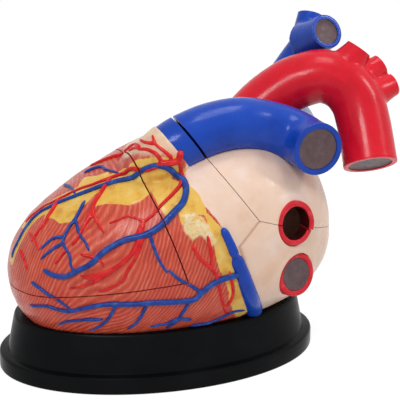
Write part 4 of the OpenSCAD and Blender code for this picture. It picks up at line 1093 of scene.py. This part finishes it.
# Pulmonary trunk: its root on the body, and the rest with both branches on the roof
trunk_end, trunk_way = ends_of(TRUNK[-1], TRUNK[-2])
right_end, right_way = ends_of(RIGHT_PULMONARY[-1], RIGHT_PULMONARY[-2])
trunk_bore = tube("trunk_bore", smooth_path(carried(TRUNK, 0.3, 0.35)), TRUNK_R - VESSEL_WALL, 56, vein_paint)
right_bore = tube("right_bore", smooth_path(carried(RIGHT_PULMONARY, 0.3, 0.35)),
                  RIGHT_PULMONARY_R - VESSEL_WALL, 48, vein_paint)
trunk_root = tube("root_of_trunk", trunk_path[root_step:], TRUNK_R, 72, vein_paint, root_plane)
cut(trunk_root, [trunk_bore, cover_out, wedge("root_gap", ROOF_SEAM, TRUNK_GAP, vein_paint)])
finish_piece(trunk_root, "stand_and_heart", "vessel_blue", "pulmonary_root")
trunk = remeshed(joined("trunk_and_branches", [
    tube("t0", smooth_path(carried(TRUNK, 0, 0.35)), TRUNK_R, 64),
    tube("t1", smooth_path(carried(RIGHT_PULMONARY, 0, 0.35)), RIGHT_PULMONARY_R, 56)]), 1.3, 6)
trunk.data.materials.append(vein_paint)
cut(trunk, [wedge("trunk_in", ROOF_SEAM, -TRUNK_GAP / 2, vein_paint)], "INTERSECT")
trunk_past = [cutter_past(trunk_end, trunk_way, TRUNK_R * 1.3, vein_paint),
              cutter_past(right_end, right_way, TRUNK_R, vein_paint)]
cut(trunk, trunk_past + [trunk_bore, right_bore])
finish_piece(trunk, "roof", "vessel_blue", "pulmonary_trunk")
close_ends("trunk", [(trunk_end, trunk_way, TRUNK_R, TRUNK_R - VESSEL_WALL),
                     (right_end, right_way, RIGHT_PULMONARY_R, RIGHT_PULMONARY_R - VESSEL_WALL)], vein_paint,
           "vessel_blue", "pulmonary_trunk", "pulmonary_end_discs")

# Superior vena cava with its two cut branches
cava = remeshed(joined("cava_and_branches", [tube("c0", cava_path, CAVA_R, 56)]
                       + [flared(b, 1.25, 7) for b in BRACHIOCEPHALIC]), 1.3, 6)
cava.data.materials.append(vein_paint)
cava_cuts = [tube("c1", smooth_path(carried(CAVA, 0.3, -0.4)), CAVA_R - VEIN_WALL, 48, vein_paint)]
cava_ends = [(*ends_of(b[1], b[0]), b[2] / 2, b[2] / 2 - VEIN_WALL) for b in BRACHIOCEPHALIC]
for place, way, radius, bore in cava_ends:
    cava_cuts += [cutter_past(place, way, radius * 1.35, vein_paint),
                  rod("c2", place, way, bore, -28, 2, 48, vein_paint)]
cut(cava, cava_cuts)
finish_piece(cava, "roof", "vessel_blue", "superior_vena_cava")
close_ends("cava", cava_ends, vein_paint, "vessel_blue", "superior_vena_cava", "superior_vena_cava_discs")


# ---------------------------------------------------------------- vein rings
def ring(name, vein, paint, d=RING_D, wall=RING_WALL, grow=0.0, proud=RING_PROUD):
    """Ring with rounded lips round a cut vein, a little uneven as painted by hand, its bore darkened deep down
    with painted shade.
    """
    outer_r, bore = d / 2 + grow, d / 2 - wall + grow * 0.6
    profile = rounded([(outer_r, -RING_DEPTH), (outer_r, proud), (bore, proud), (bore, -RING_DEPTH)],
                      (0.3, 2.6, 1.8, 0.3))
    place, way = on_heart(vein[0], vein[1]), unit(vein[2])
    obj = lathe(name, profile, place, way, 112, material=paint,
                wobble=lambda a: 1 + 0.006 * np.sin(3 * a + vein[1]) + 0.004 * np.sin(7 * a))
    # Faces deep in the bore take the painted shade
    obj.data.materials.append(painted_bore_shade)
    for face in obj.data.polygons:
        middle = np.array(face.center) / MM - place
        up = middle @ way
        if up < proud - 3 and np.linalg.norm(middle - up * way) < bore + 0.8:
            face.material_index = 1
    return obj


for name, vein, body, slot, paint, d, wall, nodes_ in (
        ("left_lower_ring", LEFT_LOWER, "stand_and_heart", "vessel_red", ring_paint, RING_D, RING_WALL,
         ("left_lower_vein_ring", "left_lower_vein_disc")),
        ("right_lower_ring", RIGHT_LOWER, "stand_and_heart", "vessel_red", ring_paint, RING_D, RING_WALL,
         ("right_lower_vein_ring", "right_lower_vein_disc")),
        ("right_upper_ring", RIGHT_UPPER, "roof", "vessel_red", ring_paint, RING_D, RING_WALL,
         ("right_upper_vein_ring", "right_upper_vein_disc")),
        ("lower_cava_ring", LOWER_CAVA, "stand_and_heart", "vessel_blue", vein_paint, LOWER_CAVA_D, VEIN_WALL,
         ("inferior_vena_cava", "inferior_vena_cava_disc"))):
    finish_piece(ring(name, vein, paint, d, wall), body, slot, nodes_[0])
    place = on_heart(vein[0], vein[1]) + RING_PROUD * unit(vein[2])
    finish_piece(disc(name + "_disc", place, vein[2], d / 2 - wall - 0.05), body, "end_disc", nodes_[1])

upper_half = cut(ring("open_ring_upper", LEFT_UPPER, ring_paint, grow=0.7, proud=RING_PROUD + 0.8),
                 [wedge("half_in", ROOF_SEAM, -ROOF_GAP, ring_paint)], "INTERSECT")
finish_piece(upper_half, "roof", "vessel_red", "left_upper_vein_upper_half")
lower_half = cut(ring("open_ring_lower", LEFT_UPPER, ring_paint, grow=-0.5),
                 [wedge("half_out", ROOF_SEAM, ROOF_GAP, ring_paint)])
finish_piece(lower_half, "stand_and_heart", "vessel_red", "left_upper_vein_lower_half")


# ---------------------------------------------------------------- coronary vessels
def surface_normals(u, v):
    step = 0.004
    du = on_heart(np.clip(u + step, 0, 1), v) - on_heart(np.clip(u - step, 0, 1), v)
    dv = on_heart(u, v + 0.5) - on_heart(u, v - 0.5)
    n = unit(np.cross(dv, du))
    middle = np.stack([on_heart(u, v)[:, 0], spline(MIDDLE_Y, u), spline(MIDDLE_Z, u)], -1)
    out = np.sign(((on_heart(u, v) - middle) * n).sum(1))
    return n * out[:, None]


def vessel(route, sizes, raised=0.4, sides=12, steps=7):
    """Round tube that lies on the shaped surface and tapers off at both ends."""
    r = smooth_path(route, steps)
    u, v = r[:, 0] / 100, r[:, 1]
    out = surface_normals(u, v)
    radii = np.interp(np.linspace(0, 1, len(u)), np.linspace(0, 1, len(sizes)), sizes)
    ends = np.minimum(np.arange(len(u)), np.arange(len(u))[::-1])
    radii *= np.interp(ends, (0, 1, 2), (0.45, 0.85, 1))
    path = settle_on(on_heart(u, v), out) + out * (raised * radii)[:, None]
    return tube("vessel", path, radii, sides)


stand_zone = prism("stand_zone", [(-250, -20), (250, -20), (250, STAND_HEIGHT + 1), (-250, STAND_HEIGHT + 1)])
for kind, routes, size, paint, slot, taken in (
        ("cardiac_veins", VEINS, VEIN_R, twig_vein_paint, "vessel_blue", []),
        ("coronary_arteries", ARTERIES, ARTERY_R, twig_artery_paint, "vessel_red", [atrial_side])):
    whole = remeshed(joined(kind, [vessel(r, np.array(shares) * size) for r, shares in routes]), 0.8, 3)
    whole.data.materials.append(paint)
    lifted = cut(copy_of(whole, "cover_" + kind + "_painted"), [cover_in], "INTERSECT")
    finish_piece(lifted, "cover", slot, "cover_" + kind)
    cut(whole, [cover_out, roof_out, stand_zone] + taken)
    whole.name = "body_" + kind + "_painted"
    finish_piece(whole, "stand_and_heart", slot, "body_" + kind)

sinus = remeshed(joined("great_sinus", [vessel(SINUS_FEED, (0.2 * SINUS_D, 0.25 * SINUS_D), 0.3, 20),
                                        vessel(SINUS, (0.36 * SINUS_D, 0.52 * SINUS_D), -0.3, 28)]), 0.9, 4)
sinus.data.materials.append(vein_paint)
finish_piece(cut(sinus, [stand_zone]), "stand_and_heart", "vessel_blue", "coronary_sinus")


# ---------------------------------------------------------------- inside the chambers
for name, routes, radius, room in (("left_papillary_muscles", LEFT_MUSCLES, 8.0, chambers[0]),
                                   ("right_papillary_muscles", RIGHT_MUSCLES, 7.0, chambers[1])):
    columns = []
    for route in routes:
        path = smooth_path(route, 6)
        columns.append(tube("column", path, radius * np.linspace(1.5, 0.7, len(path)), 28, muscle_coat))
    columns = remeshed(joined(name + "_ridged", columns), 1.1, 3)
    p = points_of(columns)
    set_points(columns, p + normals_of(columns) * (0.7 * bumps(p * [0.35, 1, 0.6], 5, 7))[:, None])
    room.data.materials.append(muscle_coat)
    finish_piece(cut(columns, [room], "INTERSECT"), "stand_and_heart", "heart_muscle", name)


# ---------------------------------------------------------------- stand
def oval_stack(name, rings, sides=144):
    """Solid between ovals, each given by how far it lies inside the foot and by its height."""
    angle = np.arange(sides) * 2 * np.pi / sides
    points = [((STAND_LENGTH / 2 - i) * np.cos(a), (STAND_WIDTH / 2 - i) * np.sin(a), z)
              for i, z in rings for a in angle]
    return add(name, points, stacked(len(rings) - 1, sides), stand_coat)


RIM_INSET = LEDGE + LEAN
stand = oval_stack("two_tier_stand", [
    (1.4, 0), (0.5, 0.4), (0.1, 1.2), (0, 2.2), (0, STEP_HEIGHT - 3), (0.25, STEP_HEIGHT - 1.6),
    (0.9, STEP_HEIGHT - 0.6), (2.2, STEP_HEIGHT), (LEDGE - 1.4, STEP_HEIGHT), (LEDGE - 0.4, STEP_HEIGHT + 0.4),
    (LEDGE + 0.3, STEP_HEIGHT + 1.6), (RIM_INSET - 0.9, STAND_HEIGHT - 3.4),
    (RIM_INSET - 0.3, STAND_HEIGHT - 1.5), (RIM_INSET + 0.7, STAND_HEIGHT - 0.4), (RIM_INSET + 2.2, STAND_HEIGHT)])
plate_screws_at = [(sx * (STAND_LENGTH / 2 - 7.6), 0) for sx in (-1, 1)] + [(0, sy * (STAND_WIDTH / 2 - 7.6))
                                                                            for sy in (-1, 1)]
stand_cuts = [heart_mesh("cradle", -FIT, 100, 160, stand_coat),
              oval_stack("recess", [(PLATE_LIP, -1), (PLATE_LIP, PLATE_THICKNESS)])]
plate = oval_stack("bottom_plate", [(PLATE_LIP + 0.7, 0), (PLATE_LIP + FIT, 0.4),
                                    (PLATE_LIP + FIT, PLATE_THICKNESS)])
plate_cuts = []
for x in HEART_SCREW_X:
    stand_cuts += [rod("h", (x, 0, 0), (0, 0, 1), HEART_SCREW_D / 2 + FIT, -1, STAND_HEIGHT + 10, 24,
                       stand_coat),
                   rod("h", (x, 0, 0), (0, 0, 1), SCREW_HEAD_D / 2 + FIT, -1, SCREW_HEAD_Z, 32, stand_coat)]
    plate_cuts.append(rod("h", (x, 0, 0), (0, 0, 1), SCREW_HEAD_D / 2 + 2 * FIT, -1, 4, 40, stand_coat))
for x, y in plate_screws_at:
    stand_cuts.append(rod("h", (x, y, 0), (0, 0, 1), PLATE_SCREW_D / 2 + 0.05, -1, 12, 20, stand_coat))
    plate_cuts += [rod("h", (x, y, 0), (0, 0, 1), PLATE_SCREW_D / 2 + FIT, -1, 4, 24, stand_coat),
                   tube("h", [(x, y, -0.01), (x, y, 0.6 * PLATE_THICKNESS)],
                        [1.2 * PLATE_SCREW_D, PLATE_SCREW_D / 2 + FIT], 32, stand_coat)]
finish_piece(cut(stand, stand_cuts), "stand_and_heart", "stand_black", "stand_shell", angle=30)
finish_piece(cut(plate, plate_cuts), "stand_and_heart", "stand_black", "stand_plate", angle=30)


# ---------------------------------------------------------------- pins, valves, screws and magnets
pin_profile = [(0, -PIN_REACH), (PIN_R - 1, -PIN_REACH), (PIN_R, 1 - PIN_REACH), (PIN_R, PIN_REACH - 1),
               (PIN_R - 1, PIN_REACH), (0, PIN_REACH)]
for name, places, way, body in (("cover_pins", cover_pins, COVER_WAY, "cover"),
                                ("roof_pins", roof_pins, ROOF_WAY, "roof")):
    turned = [lathe("pin", pin_profile, p, way, 48, closed=False, material=steel) for p in places]
    finish_piece(joined(name + "_turned", turned), body, "steel", name)

for names, coat in ((("mitral_valve", "tricuspid_valve", "aortic_valve", "pulmonary_valve",
                      "left_tendinous_cords", "right_tendinous_cords"), valve_coat),
                    (("plate_screws", "heart_screws"), steel),
                    (("body_magnets", "cover_magnets", "roof_magnets"), magnet_coat)):
    for name in names:
        mesh = nodes[name].data
        mesh.materials.clear()
        mesh.materials.append(coat)

for helper in [o for o in bpy.data.objects if o.type == "MESH" and body_of(o) is None]:
    drop(helper)


# ---------------------------------------------------------------- floor, light and camera
def seen_rays(tree):
    """1 for rays from the camera and from gloss, which see a white room, and 0 for the rest."""
    path_of_light = tree.nodes.new("ShaderNodeLightPath")
    seen = tree.nodes.new("ShaderNodeMath")
    seen.operation = "MAXIMUM"
    tree.links.new(path_of_light.outputs["Is Camera Ray"], seen.inputs[0])
    tree.links.new(path_of_light.outputs["Is Glossy Ray"], seen.inputs[1])
    return seen.outputs[0]


floor_paint = bpy.data.materials.new("floor_paint")
floor_paint.use_nodes = True
tree = floor_paint.node_tree
for n in list(tree.nodes):
    if n.bl_idname != "ShaderNodeOutputMaterial":
        tree.nodes.remove(n)
plain, dim, glow = (tree.nodes.new(k) for k in ("ShaderNodeBsdfDiffuse", "ShaderNodeBsdfDiffuse",
                                                "ShaderNodeEmission"))
plain.inputs["Color"].default_value = (0.8, 0.8, 0.8, 1)
dim.inputs["Color"].default_value = (0.34, 0.34, 0.34, 1)
glow.inputs["Strength"].default_value = 0.84
both, mixed = tree.nodes.new("ShaderNodeAddShader"), tree.nodes.new("ShaderNodeMixShader")
tree.links.new(dim.outputs[0], both.inputs[0])
tree.links.new(glow.outputs[0], both.inputs[1])
tree.links.new(seen_rays(tree), mixed.inputs[0])
tree.links.new(plain.outputs[0], mixed.inputs[1])
tree.links.new(both.outputs[0], mixed.inputs[2])
tree.links.new(mixed.outputs[0], tree.nodes["Material Output"].inputs["Surface"])
FLOOR_HALF, FLOOR_Z = 6000.0, -0.2
floor_corners = [(x * FLOOR_HALF, y * FLOOR_HALF, FLOOR_Z) for x, y in ((-1, -1), (1, -1), (1, 1), (-1, 1))]
floor = add("floor", floor_corners, [(0, 1, 2, 3)], floor_paint)

scene = bpy.context.scene
world = bpy.data.worlds.new("studio")
scene.world = world
world.use_nodes = True
tree = world.node_tree
sky = tree.nodes["Background"]
sky.inputs["Color"].default_value = (1, 1, 1, 1)
level = tree.nodes.new("ShaderNodeMapRange")
tree.links.new(seen_rays(tree), level.inputs["Value"])
SKY_LIGHT = 0.36
level.inputs["To Min"].default_value, level.inputs["To Max"].default_value = SKY_LIGHT, 1.0
tree.links.new(level.outputs["Result"], sky.inputs["Strength"])


def light(name, place, target, size, power):
    lamp = bpy.data.lights.new(name, "AREA")
    lamp.shape, lamp.size, lamp.size_y, lamp.energy = "RECTANGLE", size[0] * MM, size[1] * MM, power
    obj = bpy.data.objects.new(name, lamp)
    obj.location = [c * MM for c in place]
    obj.rotation_euler = (Vector(target) - Vector(place)).to_track_quat("-Z", "Y").to_euler()
    scene.collection.objects.link(obj)


HEART_MIDDLE = (30, 0, 140)
light("key", (-700, -1200, 1500), HEART_MIDDLE, (600, 450), 13)
light("top", (300, -100, 1700), HEART_MIDDLE, (700, 500), 6)
light("side", (1300, -500, 1150), HEART_MIDDLE, (320, 320), 5)

AZIMUTH, ELEVATION, DISTANCE = math.radians(-17.9), math.radians(18.0), 1600.0
TARGET_RIGHT, TARGET_UP, LENS = 42.1, 149.2, 144.0
back = Vector((math.sin(AZIMUTH) * math.cos(ELEVATION), -math.cos(AZIMUTH) * math.cos(ELEVATION),
               math.sin(ELEVATION)))
right = Vector((math.cos(AZIMUTH), math.sin(AZIMUTH), 0))
eye = right * TARGET_RIGHT + back.cross(right) * TARGET_UP + back * DISTANCE
camera = bpy.data.objects.new("camera", bpy.data.cameras.new("camera"))
camera.data.lens, camera.data.sensor_width, camera.data.clip_end = LENS, 36.0, 100.0
camera.location = eye * MM
camera.rotation_euler = (-back).to_track_quat("-Z", "Y").to_euler()
scene.collection.objects.link(camera)
scene.camera = camera
scene.view_settings.view_transform = "Standard"
